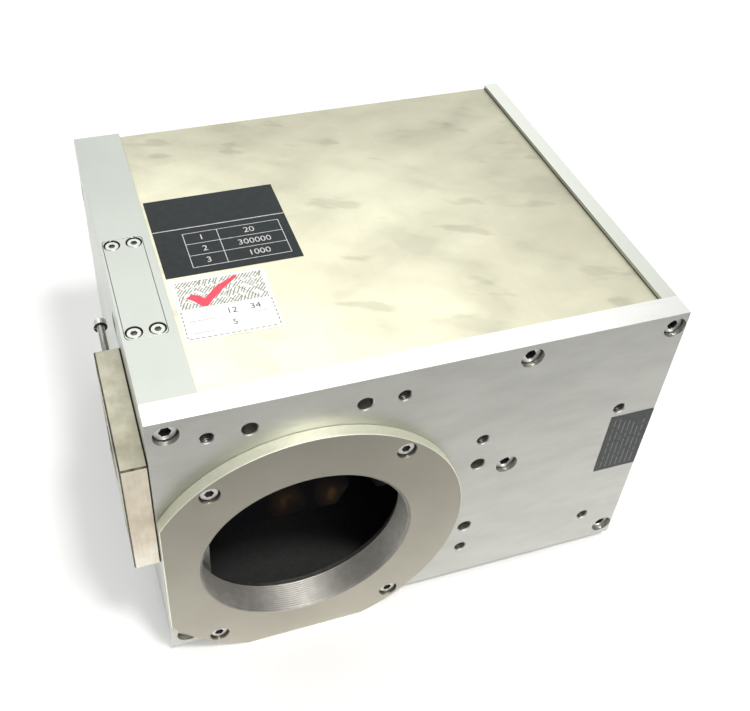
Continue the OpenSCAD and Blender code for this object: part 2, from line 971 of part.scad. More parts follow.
module at_y() {
    translate([y_galvo_u, beam_y, 0])
        to_right()
            children();
}

// Shell with a front bearing seat and a step for the end bell
module galvo_shell() {
    difference() {
        cylinder(d = galvo_d, h = galvo_l, $fn = 96);
        translate([0, 0, -eps])
            cylinder(d = bearing_d - 2 * lip_step, h = galvo_l);
        translate([0, 0, lip])
            cylinder(d = bearing_d + 2 * fit, h = galvo_l);
        translate([0, 0, front_wall])
            cylinder(r = shell_r, h = galvo_l);
        translate([0, 0, bell_u])
            cylinder(r = bell_r + fit, h = galvo_l);
    }
}

module galvo_coil() {
    translate([0, 0, coil_u])
        tube(2 * (shell_r - fit), magnet_d + 2 * air_gap, coil_l);
}

module galvo_end_bell() {
    translate([0, 0, bell_u])
        difference() {
            cylinder(r = bell_r, h = bell_l);
            translate([0, 0, -eps])
                cylinder(d = bearing_d - 2 * lip_step, h = bell_l + 1);
            translate([0, 0, lip])
                cylinder(d = bearing_d + 2 * fit, h = bell_l);
        }
}

// Two ball bearings: the balls show in the gap between the rings
module galvo_bearings() {
    for (u = [lip, bell_u + lip])
        translate([0, 0, u])
            bearing();
}

module bearing() {
    ring_w = (bearing_d - shaft_d) / 2;
    difference() {
        tube(bearing_d, shaft_d + 2 * running, bearing_w);
        for (z = [-eps, bearing_w - 0.5])
            translate([0, 0, z])
                tube(bearing_d - 0.7 * ring_w, shaft_d + 0.7 * ring_w, 0.5 + eps);
    }
}

module galvo_shaft() {
    translate([0, 0, -play - shaft_grip])
        cylinder(d = shaft_d, h = shaft_end + play + shaft_grip);
}

module galvo_magnet() {
    translate([0, 0, magnet_u])
        tube(magnet_d, shaft_d + 2 * fit, magnet_l);
}

// Detector vane: a disc with two opposite windows open to the rim
module galvo_vane() {
    hub_d = shaft_d + 5;
    translate([0, 0, vane_u])
        difference() {
            union() {
                intersection() {
                    cylinder(d = vane_d, h = vane_t);
                    linear_extrude(vane_t)
                        for (s = [0, 180])
                            rotate([0, 0, s])
                                polygon([[0, 0], [vane_d, vane_d], [-vane_d, vane_d]]);
                }
                cylinder(d = hub_d, h = vane_t);
            }
            translate([0, 0, -eps])
                cylinder(d = shaft_d + 2 * fit, h = vane_t + 2 * eps);
        }
}

// Detector board: a disc with its photodiodes and a pin header
module galvo_detector() {
    translate([0, 0, detector_u]) {
        cylinder(r = cap_r - fit, h = board_t);
        for (a = [0 : 90 : 270])
            rotate([0, 0, a])
                translate([vane_d / 2 - diode_l, -diode_w / 2, -diode_t])
                    cube([diode_l, diode_w, diode_t + eps]);
        translate([-plug_l / 2, -plug_w / 2, board_t - eps])
            cube([plug_l, plug_w, plug_h]);
    }
}

// Rear cap with a shoulder that carries the detector board
module galvo_cap() {
    translate([0, 0, galvo_l])
        difference() {
            cylinder(d = galvo_d, h = galvo_cap_l, $fn = 96);
            translate([0, 0, -eps])
                cylinder(r = cap_r, h = detector_u + board_t - galvo_l + eps);
            cylinder(r = cap_r - cap_shoulder, h = galvo_cap_l - cap_wall);
            translate([0, shell_r / 2, 0])
                cylinder(d = lead_hole, h = galvo_cap_l + eps);
        }
}

// Turned mount: a slot for the mirror's tongue and a bore for the shaft
module mirror_mount(w) {
    collar_d = shaft_d + 5;
    head_l = mirror_grip + 2;
    translate([0, 0, w / 2])
        difference() {
            union() {
                cylinder(d = mirror_mount_d, h = head_l);
                translate([0, 0, head_l])
                    cylinder(d1 = mirror_mount_d, d2 = collar_d, h = 2);
                cylinder(d = collar_d, h = mirror_mount_l);
            }
            translate([-fit, -mirror_tail_w / 2 - fit, -eps])
                cube([mirror_t + 2 * fit, mirror_tail_w + 2 * fit, mirror_grip + fit + eps]);
            translate([0, 0, mirror_mount_l - shaft_grip])
                cylinder(d = shaft_d + 2 * fit, h = shaft_grip + eps);
        }
}

// A mirror with its shaft along Z, its front face through the shaft's axis;
// near and far are the lengths of its two end edges
module mirror(w, near, far) {
    reach = mirror_l / 2;
    cut = 0.9;
    near_cut = cut * (w - near) / 2;
    far_cut = cut * (w - far) / 2;
    rotate([90, 0, 90])
        linear_extrude(mirror_t) {
            polygon([
                [-reach, -near / 2], [near_cut - reach, -w / 2], [reach - far_cut, -w / 2], [reach, -far / 2],
                [reach, far / 2], [reach - far_cut, w / 2], [near_cut - reach, w / 2], [-reach, near / 2]
            ]);
            translate([-mirror_tail_w / 2, w / 2 - eps])
                square([mirror_tail_w, mirror_grip + eps]);
        }
}

module in_x() {
    translate([0, beam_y, beam_z])
        to_back()
            rotate([0, 0, -45])
                children();
}

module in_y() {
    translate([0, beam_y, 0])
        to_right()
            rotate([0, 0, 45])
                children();
}

steel = [0.60, 0.61, 0.62];
shell_colour = [0.16, 0.16, 0.17];
copper = [0.72, 0.42, 0.25];
board_green = [0.08, 0.30, 0.16];

module x_galvo_shell() color(shell_colour) at_x() galvo_shell();
module x_galvo_coil() color(copper) at_x() galvo_coil();
module x_galvo_end_bell() color(steel) at_x() galvo_end_bell();
module x_galvo_bearings() color(steel) at_x() galvo_bearings();
module x_detector_board() color(board_green) at_x() galvo_detector();
module x_galvo_cap() color(shell_colour) at_x() galvo_cap();
module x_shaft() color(steel) at_x() galvo_shaft();
module x_magnet() color([0.35, 0.35, 0.38]) at_x() galvo_magnet();
module x_detector_vane() color([0.1, 0.1, 0.1]) at_x() galvo_vane();
module x_mirror_mount() color([0.70, 0.71, 0.72]) in_x() mirror_mount(x_mirror_w);
module x_mirror() color([0.75, 0.60, 0.30]) in_x() mirror(x_mirror_w, x_mirror_end, x_mirror_end);

module y_galvo_shell() color(shell_colour) at_y() galvo_shell();
module y_galvo_coil() color(copper) at_y() galvo_coil();
module y_galvo_end_bell() color(steel) at_y() galvo_end_bell();
module y_galvo_bearings() color(steel) at_y() galvo_bearings();
module y_detector_board() color(board_green) at_y() galvo_detector();
module y_galvo_cap() color(shell_colour) at_y() galvo_cap();
module y_shaft() color(steel) at_y() galvo_shaft();
module y_magnet() color([0.35, 0.35, 0.38]) at_y() galvo_magnet();
module y_detector_vane() color([0.1, 0.1, 0.1]) at_y() galvo_vane();
module y_mirror_mount() color([0.70, 0.71, 0.72]) in_y() mirror_mount(y_mirror_w);
module y_mirror() color([0.75, 0.60, 0.30]) in_y() mirror(y_mirror_w, y_mirror_front, y_mirror_rear);

// A servo board: components face the entrance side, holes at its corners
module servo_board(x) {
    part_x = x + eps;
    difference() {
        union() {
            translate([x, board_y, board_z])
                cube([board_t, board_l, board_h]);
            translate([part_x - sink_out, board_y + part_gap, board_z + board_h - part_gap - sink_h])
                cube([sink_out, sink_l, sink_h]);
            for (i = [0 : 2])
                translate([part_x - chip_out, board_y + part_gap + i * chip_pitch, board_z + chip_up])
                    cube([chip_out, chip_side, chip_side]);
            translate([part_x - header_out, board_y + board_l - header_gap - header_l, board_z + part_gap])
                cube([header_out, header_l, header_h]);
            for (i = [0 : 1])
                translate([part_x, board_y + part_gap + can_in + i * can_pitch, board_z + can_up])
                    to_left()
                        cylinder(d = can_d, h = can_h);
        }
        for (p = board_holes)
            translate([x + board_t, p[0], p[1]])
                to_right()
                    screw_hole(m3, board_t + eps);
    }
}

module y_servo_board() color(board_green) servo_board(y_board_x);
module x_servo_board() color(board_green) servo_board(x_board_x);

// Spacers: the outer ones reach through the first board into the inner ones
module board_spacers() {
    outer_l = side_in - y_board_x - board_t;
    color([0.80, 0.70, 0.40])
    for (p = board_holes) {
        translate([side_in, p[0], p[1]])
            to_left()
                difference() {
                    union() {
                        cylinder(d = spacer_d, h = outer_l);
                        cylinder(d = m3, h = outer_l + board_t + stud_l);
                    }
                    translate([0, 0, -eps])
                        cylinder(d = m3 + 2 * fit, h = spacer_screw_in + 1 + eps);
                }
        translate([y_board_x, p[0], p[1]])
            to_left()
                difference() {
                    cylinder(d = spacer_d, h = board_pitch);
                    translate([0, 0, -eps])
                        cylinder(d = m3 + 2 * fit, h = stud_l + fit + eps);
                    translate([0, 0, board_pitch - board_screw_l + board_t - fit])
                        cylinder(d = m3 + 2 * fit, h = board_screw_l);
                }
    }
}

module board_screws() {
    color([0.72, 0.72, 0.70])
    for (p = board_holes) {
        translate([right, p[0], p[1]])
            to_right()
                flat_screw(m3, side_wall_t + spacer_screw_in);
        translate([x_board_x, p[0], p[1]])
            to_left()
                cap_screw(m3, board_screw_l, m3);
    }
}

// A D connector with two rows of sockets, drawn looking at its face
module connector(at, w, pins) {
    shell_w = w - 2 * connector_side;
    inner = 0.8;
    socket_l = 4;
    rear_l = back_t + 3;
    translate([at[0], back, at[1]])
        to_back()
            difference() {
                union() {
                    linear_extrude(flange_t)
                        difference() {
                            rounded_rect(w, connector_h, 1);
                            for (s = [-1, 1])
                                translate([s * (w / 2 - jack_inset), 0])
                                    circle(d = m3 + 2 * fit);
                        }
                    linear_extrude(flange_t + connector_shell)
                        difference() {
                            d_outline(shell_w, connector_h - 4.2);
                            d_outline(shell_w - inner, connector_h - 4.2 - inner);
                        }
                    linear_extrude(flange_t + connector_shell - inner)
                        d_outline(shell_w - 2 * inner, connector_h - 4.2 - 2 * inner);
                    translate([0, 0, -rear_l])
                        linear_extrude(rear_l + eps)
                            square([shell_w, connector_h - 3], center = true);
                }
                for (row = [0, 1], i = [0 : pins - 1 - row])
                    translate([(i - (pins - 1 - row) / 2) * pin_pitch, (0.5 - row) * pin_row,
                               flange_t + connector_shell - inner - socket_l])
                        cylinder(d = pin_d, h = socket_l + 1, $fn = 16);
            }
}

// The D outline of a shell, the wide side below
module d_outline(w, h) {
    slant = 0.18 * h;
    polygon([[-w / 2 + slant, -h / 2], [w / 2 - slant, -h / 2], [w / 2, h / 2], [-w / 2, h / 2]]);
}

module signal_connector() color([0.65, 0.65, 0.62]) connector(signal_at, signal_w, 13);
module power_connector() color([0.65, 0.65, 0.62]) connector(power_at, power_w, 5);

module connector_jackscrews() {
    color([0.72, 0.72, 0.70])
    for (c = [[signal_at, signal_w], [power_at, power_w]])
        for (s = [-1, 1])
            translate([c[0][0] + s * (c[1] / 2 - jack_inset), back + flange_t, c[0][1]])
                to_back()
                    difference() {
                        union() {
                            cylinder(d = jack_af * 2 / sqrt(3), h = jack_l, $fn = 6);
                            translate([0, 0, -jack_stud])
                                cylinder(d = m3, h = jack_stud + eps);
                        }
                        translate([0, 0, 1])
                            cylinder(d = 2.5, h = jack_l);
                    }
}

// Labels, each a thin film on its face
module rating_label() {
    color([0.05, 0.05, 0.06])
    translate([left + rating_in, rating_y, top_up])
        cube([rating_w, rating_l, label_t]);
}

module inspection_sticker() {
    color([0.92, 0.92, 0.92])
    translate([left + sticker_in, sticker_y, top_up])
        rotate([0, 0, sticker_turn])
            translate([-sticker_w / 2, -sticker_l / 2, 0])
                cube([sticker_w, sticker_l, label_t]);
}

module front_label() {
    color([0.13, 0.14, 0.15])
    translate([right - front_label_in - front_label_w, face - label_t, front_label_z])
        cube([front_label_w, label_t, front_label_h]);
}

front_plate();
entrance_wall();
side_wall();
back_plate();
top_plate();
bottom_cover();
front_plate_screws();
top_plate_screws();
back_plate_screws();
bottom_cover_screws();
adapter_ring();
adapter_ring_screws();
ring_seal();
entrance_adapter();
entrance_adapter_screws();
entrance_seal();
side_screw();
port_cover();
port_cover_screws();
x_galvo_plate();
y_galvo_plate();
x_galvo_plate_screws();
galvo_clamp_screws();
x_galvo_shell();
x_galvo_coil();
x_galvo_end_bell();
x_galvo_bearings();
x_detector_board();
x_galvo_cap();
x_shaft();
x_magnet();
x_detector_vane();
x_mirror_mount();
x_mirror();
y_galvo_shell();
y_galvo_coil();
y_galvo_end_bell();
y_galvo_bearings();
y_detector_board();
y_galvo_cap();
y_shaft();
y_magnet();
y_detector_vane();
y_mirror_mount();
y_mirror();
x_servo_board();
y_servo_board();
board_spacers();
board_screws();
signal_connector();
power_connector();
connector_jackscrews();
rating_label();
inspection_sticker();
front_label();
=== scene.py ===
import math

import bmesh
import bpy
from mathutils import Matrix, Vector


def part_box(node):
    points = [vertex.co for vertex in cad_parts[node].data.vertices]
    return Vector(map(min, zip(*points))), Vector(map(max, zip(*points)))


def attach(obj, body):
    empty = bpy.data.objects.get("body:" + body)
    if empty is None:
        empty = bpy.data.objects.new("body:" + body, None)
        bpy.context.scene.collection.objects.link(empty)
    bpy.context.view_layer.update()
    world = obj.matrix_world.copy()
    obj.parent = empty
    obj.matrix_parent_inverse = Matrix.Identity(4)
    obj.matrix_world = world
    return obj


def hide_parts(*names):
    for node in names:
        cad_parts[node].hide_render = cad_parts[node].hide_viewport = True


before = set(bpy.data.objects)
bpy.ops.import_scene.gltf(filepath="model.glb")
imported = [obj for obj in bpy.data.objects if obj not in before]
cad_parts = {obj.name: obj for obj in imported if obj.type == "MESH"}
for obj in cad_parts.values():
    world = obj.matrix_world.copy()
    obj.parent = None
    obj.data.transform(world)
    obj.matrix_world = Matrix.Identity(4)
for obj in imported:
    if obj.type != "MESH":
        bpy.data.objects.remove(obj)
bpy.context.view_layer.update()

scene = bpy.context.scene
scene.view_settings.view_transform = "Standard"
mm = 0.001


# ---------------------------------------------------------------- camera
# A hand-held camera looks down on the head from above its front left corner,
# so that the front plate, the top and the objective ring all show.

camera_spot = Vector((-72.45, -213.17, 331.62)) * mm
camera_right = Vector((0.9491, -0.3118, 0.0441)).normalized()
camera_along = Vector((0.2568, 0.6851, -0.6816)).normalized()
camera_up = camera_right.cross(camera_along).normalized()

camera_data = bpy.data.cameras.new("camera")
camera_data.sensor_fit = "HORIZONTAL"
camera_data.sensor_width = 36
camera_data.lens = 47.72
camera_data.shift_x = 0.047
camera_data.shift_y = -0.0444
camera_data.clip_start = 0.01
camera_data.clip_end = 30
camera = bpy.data.objects.new("camera", camera_data)
turn = Matrix((camera_right, camera_up, -camera_along)).transposed().to_4x4()
camera.matrix_world = Matrix.Translation(camera_spot) @ turn
scene.collection.objects.link(camera)
scene.camera = camera


# ---------------------------------------------------------------- studio
# A white table in a white room. A wide softbox behind the head lights its top,
# a small one above gives the soft shadow, and one in front lights its face.

table_z = -60.05 * mm
table_radius = 4
room_fill = 0.36
table_glow_strength = 0.15


def add(tree, kind, **settings):
    """A shader node: capitals name its sockets, small letters its options."""
    made = tree.nodes.new(kind)
    for key, value in settings.items():
        if key[0].isupper():
            made.inputs[key.replace("_", " ")].default_value = value
        else:
            setattr(made, key, value)
    return made


def ray_is(tree, *kinds):
    """1 for rays of the named kinds, 0 for the others."""
    paths = add(tree, "ShaderNodeLightPath")
    total = paths.outputs[kinds[0]]
    for kind in kinds[1:]:
        both = add(tree, "ShaderNodeMath", operation="MAXIMUM")
        tree.links.new(total, both.inputs[0])
        tree.links.new(paths.outputs[kind], both.inputs[1])
        total = both.outputs[0]
    return total


def blend_shaders(tree, fac, first, second):
    """Two shaders mixed: fac is a socket."""
    made = add(tree, "ShaderNodeMixShader")
    tree.links.new(fac, made.inputs[0])
    tree.links.new(first.outputs[0], made.inputs[1])
    tree.links.new(second.outputs[0], made.inputs[2])
    return made


def object_spot(tree, degrees=0):
    """Object coordinates, turned about Z."""
    spot = add(tree, "ShaderNodeTexCoord").outputs["Object"]
    if not degrees:
        return spot
    turned = add(tree, "ShaderNodeMapping", Rotation=(0, 0, math.radians(degrees)))
    tree.links.new(spot, turned.inputs["Vector"])
    return turned.outputs[0]


def tone_along(tree, low, low_tone, high, high_tone, axis="Z", degrees=0):
    """A grey that goes evenly from low to high, along an axis turned about Z."""
    split = add(tree, "ShaderNodeSeparateXYZ")
    tree.links.new(object_spot(tree, degrees), split.inputs[0])
    made = add(tree, "ShaderNodeMapRange", From_Min=low, From_Max=high, To_Min=low_tone, To_Max=high_tone)
    tree.links.new(split.outputs[axis], made.inputs["Value"])
    return made.outputs[0]


seen_kinds = ("Is Camera Ray", "Is Glossy Ray", "Is Transmission Ray")
world = bpy.data.worlds.new("white_room")
world.use_nodes = True
air = world.node_tree
room_light = air.nodes["Background"]
room_light.inputs["Color"].default_value = (1.0, 1.0, 0.99, 1)
room_light.inputs["Strength"].default_value = room_fill
where = add(air, "ShaderNodeTexCoord")
split = add(air, "ShaderNodeSeparateXYZ")
air.links.new(where.outputs["Generated"], split.inputs[0])
room_side = add(air, "ShaderNodeMapRange", From_Min=-0.1, From_Max=1.1, To_Min=room_fill, To_Max=1.0)
air.links.new(split.outputs["Y"], room_side.inputs["Value"])
room_white = add(air, "ShaderNodeMath", operation="MAXIMUM")
air.links.new(room_side.outputs[0], room_white.inputs[0])
air.links.new(ray_is(air, "Is Camera Ray"), room_white.inputs[1])
room_seen = add(air, "ShaderNodeBackground", Color=(1, 1, 1, 1))
air.links.new(room_white.outputs[0], room_seen.inputs["Strength"])
room = blend_shaders(air, ray_is(air, *seen_kinds), room_light, room_seen)
air.links.new(room.outputs[0], air.nodes["World Output"].inputs["Surface"])
scene.world = world

table_finish = bpy.data.materials.new("white_table")
table_finish.use_nodes = True
tree = table_finish.node_tree
table_shader = tree.nodes["Principled BSDF"]
table_shader.inputs["Roughness"].default_value = 0.9
table_shader.inputs["Specular IOR Level"].default_value = 0.1
# painted shade: darker in front for what mirrors the table, standing in for shade cast there; even for the camera
painted_shade_tone = tone_along(tree, -0.20, 0.22, 0.0, 0.95, axis="Y")
shade = add(tree, "ShaderNodeMix", data_type="FLOAT")
shade.inputs["B"].default_value = 0.82
tree.links.new(ray_is(tree, "Is Camera Ray"), shade.inputs["Factor"])
tree.links.new(painted_shade_tone, shade.inputs["A"])
tree.links.new(shade.outputs[0], table_shader.inputs["Base Color"])
table_glow = add(tree, "ShaderNodeEmission", Color=(1, 1, 1, 1), Strength=table_glow_strength)
table_lit = add(tree, "ShaderNodeAddShader")
tree.links.new(table_shader.outputs[0], table_lit.inputs[0])
tree.links.new(table_glow.outputs[0], table_lit.inputs[1])
# the far part is plain white to the camera, so that no horizon shows
far_white = add(tree, "ShaderNodeEmission", Color=(1, 1, 1, 1), Strength=1.0)
reach = add(tree, "ShaderNodeVectorMath", operation="LENGTH")
tree.links.new(object_spot(tree), reach.inputs[0])
far = add(tree, "ShaderNodeMapRange", From_Min=0.5, From_Max=1.2, To_Min=0.0, To_Max=1.0)
tree.links.new(reach.outputs["Value"], far.inputs["Value"])
behind = add(tree, "ShaderNodeMath", operation="MULTIPLY")
tree.links.new(far.outputs[0], behind.inputs[0])
tree.links.new(ray_is(tree, "Is Camera Ray"), behind.inputs[1])
table_seen = blend_shaders(tree, behind.outputs[0], table_lit, far_white)
table_top = blend_shaders(tree, ray_is(tree, *seen_kinds), table_shader, table_seen)
tree.links.new(table_top.outputs[0], tree.nodes["Material Output"].inputs["Surface"])

bm = bmesh.new()
bmesh.ops.create_circle(bm, cap_ends=True, segments=96, radius=table_radius)
bmesh.ops.translate(bm, verts=bm.verts, vec=(0, 0, table_z))
table_mesh = bpy.data.meshes.new("table")
bm.to_mesh(table_mesh)
bm.free()
table_mesh.materials.append(table_finish)
table = bpy.data.objects.new("table", table_mesh)
scene.collection.objects.link(table)

# name, place, point aimed at, width, height, watts, colour
softboxes = [
    ("window_softbox", (-0.22, 0.85, 1.35), (0.05, 0.08, 0.0), 2.7, 1.2, 14.3, (1.0, 1.0, 0.975)),
    ("key_softbox", (0.27, -0.62, 1.6), (0.05, 0.05, 0.0), 0.26, 0.26, 19, (1.0, 0.99, 0.97)),
    ("front_softbox", (0.3, -1.6, 0.7), (0.05, 0.0, 0.0), 1.6, 0.9, 11, (1.0, 0.99, 0.97)),
]
for name, place, aim, width, height, watts, colour in softboxes:
    lamp = bpy.data.lights.new(name, "AREA")
    lamp.shape = "RECTANGLE"
    lamp.size = width
    lamp.size_y = height
    lamp.energy = watts
    lamp.color = colour
    box = bpy.data.objects.new(name, lamp)
    box.location = place
    box.rotation_euler = (Vector(aim) - Vector(place)).to_track_quat("-Z", "Y").to_euler()
    scene.collection.objects.link(box)


# ---------------------------------------------------------------- plates of the box
# Milled aluminium plates, clear anodised, with broken edges, screwed together.
# Their inner faces are black, to swallow stray laser light.

edge_break = 0.3 * mm
sharp_angle = math.radians(25)
inner_low = Vector((-36.45, 15.02, -49.45)) * mm
inner_high = Vector((142.45, 171.95, 72.45)) * mm
# places of the finishes on a plate; 0 is its own
inside_at, lit_front_top_at, shade_in_gap_at, shaded_step_at, lit_wall_top_at = 1, 2, 3, 4, 5


def grain(tree, stretch, detail=5.0, roughness=0.6, shift=(0, 0, 0), degrees=0):
    """Noise on object coordinates, in waves per metre, turned about Z."""
    mapping = add(tree, "ShaderNodeMapping", Scale=stretch, Location=shift)
    noise = add(tree, "ShaderNodeTexNoise", Scale=1.0, Detail=detail, Roughness=roughness)
    tree.links.new(object_spot(tree, degrees), mapping.inputs["Vector"])
    tree.links.new(mapping.outputs[0], noise.inputs["Vector"])
    return noise.outputs["Fac"]


def ramp(tree, fac, *stops):
    """A colour ramp: each stop is its place and its colour or grey level."""
    made = add(tree, "ShaderNodeValToRGB")
    points = made.color_ramp.elements
    while len(points) < len(stops):
        points.new(0.5)
    for point, (place, colour) in zip(points, stops):
        point.position = place
        grey = isinstance(colour, (int, float))
        point.color = (colour, colour, colour, 1) if grey else (*colour, 1)
    tree.links.new(fac, made.inputs["Fac"])
    return made.outputs["Color"]


def mix(tree, fac, first, second, blend="MIX"):
    """Two colours mixed: fac, first and second are sockets or fixed values."""
    made = add(tree, "ShaderNodeMix", data_type="RGBA", blend_type=blend)
    for socket, value in ((made.inputs[0], fac), (made.inputs[6], first), (made.inputs[7], second)):
        if isinstance(value, bpy.types.NodeSocket):
            tree.links.new(value, socket)
        else:
            socket.default_value = value if isinstance(value, (int, float)) else (*value, 1)
    return made.outputs[2]


def finish(name, metallic=0.0, roughness=0.5, specular=0.5):
    """A new material: returns it, its node tree and its shader."""
    made = bpy.data.materials.new(name)
    made.use_nodes = True
    shader = made.node_tree.nodes["Principled BSDF"]
    shader.inputs["Metallic"].default_value = metallic
    shader.inputs["Roughness"].default_value = roughness
    shader.inputs["Specular IOR Level"].default_value = specular
    return made, made.node_tree, shader


def speckled(name, waves, dark, light, detail=3, span=(0.3, 0.7), **look):
    """A finish with fine specks between two tones; look goes on to finish."""
    made, tree, shader = finish(name, **look)
    specks = grain(tree, (waves, waves, waves), detail=detail)
    tree.links.new(ramp(tree, specks, (span[0], dark), (span[1], light)), shader.inputs["Base Color"])
    return made


def relief(tree, shader, height, strength):
    """Bump on a shader from a height socket."""
    bump = add(tree, "ShaderNodeBump", Strength=strength, Distance=0.03 * mm)
    tree.links.new(height, bump.inputs["Height"])
    tree.links.new(bump.outputs[0], shader.inputs["Normal"])


def brushed(name, dark, light, stretch, smudge=0.10, roughness=(0.34, 0.46), bump=0.25,
            patches=(14, 14, 14)):
    """Brushed metal: fine lines along the small stretch, and faint smudges."""
    made, tree, shader = finish(name, metallic=1.0)
    lines = grain(tree, stretch, detail=6, roughness=0.75)
    clouds = grain(tree, patches, detail=4, roughness=0.6, shift=(3, 1, 7))
    body = ramp(tree, lines, (0.3, dark), (0.7, light))
    soft = ramp(tree, clouds, (0.3, 1 - smudge), (0.62, 1.0))
    tree.links.new(mix(tree, 1.0, body, soft, "MULTIPLY"), shader.inputs["Base Color"])
    tree.links.new(ramp(tree, lines, (0.25, roughness[0]), (0.75, roughness[1])), shader.inputs["Roughness"])
    relief(tree, shader, lines, bump)
    return made


lengthwise = (1500, 25, 1500)
front_finish = brushed("anodised_front", (0.515, 0.515, 0.485), (0.555, 0.555, 0.52), (60, 400, 900),
                       smudge=0.11, bump=0.12, patches=(38, 38, 105))
# painted light: a lighter copy of the anodising for the front plate's top face
lit_front_top_finish = brushed("anodised_front_top_painted_light", (0.76, 0.76, 0.745), (0.84, 0.84, 0.82), (40, 900, 900), smudge=0.04)
wall_finish = brushed("anodised_wall", (0.445, 0.47, 0.435), (0.475, 0.50, 0.465), lengthwise,
                      smudge=0.08, bump=0.15)
# painted light: a lighter copy of the wall's anodising for the side wall's top face
lit_wall_top_finish = brushed("anodised_wall_top_painted_light", (0.66, 0.68, 0.625), (0.70, 0.72, 0.665), lengthwise,
                      smudge=0.05, bump=0.15)
# painted shade: a darker copy of the wall's anodising for the face of the step beside the cover
shaded_step_finish = brushed("step_face_painted_shade", (0.36, 0.37, 0.34), (0.42, 0.43, 0.40), lengthwise, smudge=0.05)
rear_finish = brushed("rear_plate", (0.56, 0.56, 0.54), (0.64, 0.64, 0.62), (30, 1500, 1500))
# painted shade: a near black finish for narrow joints and counterbores
shade_in_gap_finish = speckled("painted_shade_in_gaps", 400, (0.030, 0.028, 0.022), (0.075, 0.070, 0.055),
                      detail=4, span=(0.35, 0.7), roughness=0.7, specular=0.2)
black_finish = speckled("black_anodised", 900, 0.022, 0.036, roughness=0.55, specular=0.4)


def show(bm, name, body, slot, *finishes, smooth=True, sharp=sharp_angle):
    """Makes a mesh piece from a bmesh, which it frees, and hangs it on a body."""
    mesh = bpy.data.meshes.new(name)
    if smooth:
        for face in bm.faces:
            face.smooth = True
        for edge in bm.edges:
            edge.smooth = not (edge.is_manifold and edge.calc_face_angle(0) > sharp)
    bm.to_mesh(mesh)
    bm.free()
    for made in finishes:
        mesh.materials.append(made)
    piece = bpy.data.objects.new(name, mesh)
    scene.collection.objects.link(piece)
    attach(piece, body)
    return piece


def copy_of(node):
    """A bmesh of a CAD node, with its flat faces made whole again."""
    bm = bmesh.new()
    bm.from_mesh(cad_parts[node].data)
    bmesh.ops.remove_doubles(bm, verts=bm.verts, dist=1e-6)
    bmesh.ops.dissolve_limit(bm, angle_limit=math.radians(0.5), verts=bm.verts, edges=bm.edges)
    return bm


def break_edges(bm, width, angle=math.radians(50)):
    """Bevels every outward edge that is sharper than the angle."""
    edges = [e for e in bm.edges if e.is_manifold and e.is_convex and e.calc_face_angle(0) > angle]
    bmesh.ops.bevel(bm, geom=edges, offset=width, offset_type="OFFSET", affect="EDGES",
                    segments=1, profile=0.5, material=-1, clamp_overlap=True)


def blacken_inside(bm):
    """Gives the faces that look into the box the black finish."""
    slack = 0.2 * mm
    middle = (inner_low + inner_high) / 2
    for face in bm.faces:
        spot = face.calc_center_median()
        inside = all(low - slack <= c <= high + slack for low, c, high in zip(inner_low, spot, inner_high))
        if inside and face.normal.dot(middle - spot) > 0:
            face.material_index = inside_at


plates = [
    ("front_plate", "anodised_front", front_finish),
    ("entrance_wall", "anodised_wall", wall_finish),
    ("side_wall", "anodised_wall", wall_finish),
    ("back_plate", "rear_plate", rear_finish),
    ("bottom_cover", "rear_plate", rear_finish),
]
cover_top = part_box("top_plate")[1].z
step_from = cover_top - 3 * mm
# painted shade: the step's face is near black below this height
gap_shade_top = cover_top + 0.45 * mm
for node, slot, made in plates:
    bm = copy_of(node)
    break_edges(bm, edge_break)
    blacken_inside(bm)
    low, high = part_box(node)
    if node == "side_wall":
        step = [f for f in bm.faces if f.normal.x < -0.9 and f.calc_center_median().z > step_from]
        around = step + [e for f in step for e in f.edges] + [v for f in step for v in f.verts]
        bmesh.ops.bisect_plane(bm, geom=list(dict.fromkeys(around)), plane_co=(0, 0, gap_shade_top),
                               plane_no=(0, 0, 1))
    for face in bm.faces:
        spot = face.calc_center_median()
        # painted light on the front plate's top face
        if node == "front_plate" and face.normal.z > 0.9 and spot.z > high.z - 0.1 * mm:
            face.material_index = lit_front_top_at
        # painted light on the side wall's top face
        if node == "side_wall" and face.normal.z > 0.5 and spot.z > high.z - 0.5 * mm:
            face.material_index = lit_wall_top_at
        # painted shade on the step's face, and a near black strip of it at its foot
        if node == "side_wall" and face.normal.x < -0.9 and spot.z > step_from:
            face.material_index = shaded_step_at if spot.z > gap_shade_top else shade_in_gap_at
        # painted shade on the entrance wall's bevel beside the cover
        if node == "entrance_wall" and face.normal.x > 0.5 and face.normal.z > 0.5 and spot.z > cover_top:
            face.material_index = shade_in_gap_at
    piece = show(bm, "milled_" + node, "housing", slot, made, black_finish, lit_front_top_finish, shade_in_gap_finish,
                 shaded_step_finish, lit_wall_top_finish)
    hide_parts(node)


# ---------------------------------------------------------------- top plate
# A ten millimetre aluminium plate in a warm chromate finish, dull and blotchy
# from handling. Its tongue lies in the entrance wall and its edges are broken.

cover_finish, tree, shader = finish("yellow_chromate", metallic=1.0)
streaks = grain(tree, (500, 18, 500), detail=6, roughness=0.75)
blotches = grain(tree, (9, 12, 9), detail=3, roughness=0.5, shift=(4.3, 2.1, 0))
tone = ramp(tree, blotches, (0.35, (0.68, 0.662, 0.515)), (0.50, (0.748, 0.731, 0.567)),
            (0.65, (0.793, 0.782, 0.60)))
# painted shade: the top grows darker towards the back right corner
painted_falloff = tone_along(tree, 60 * mm, 1.0, 160 * mm, 0.70, axis="Y", degrees=27)
tone = mix(tree, 1.0, tone, painted_falloff, "MULTIPLY")
worn = mix(tree, 0.2, tone, ramp(tree, streaks, (0.3, 0.84), (0.7, 1.0)), "MULTIPLY")
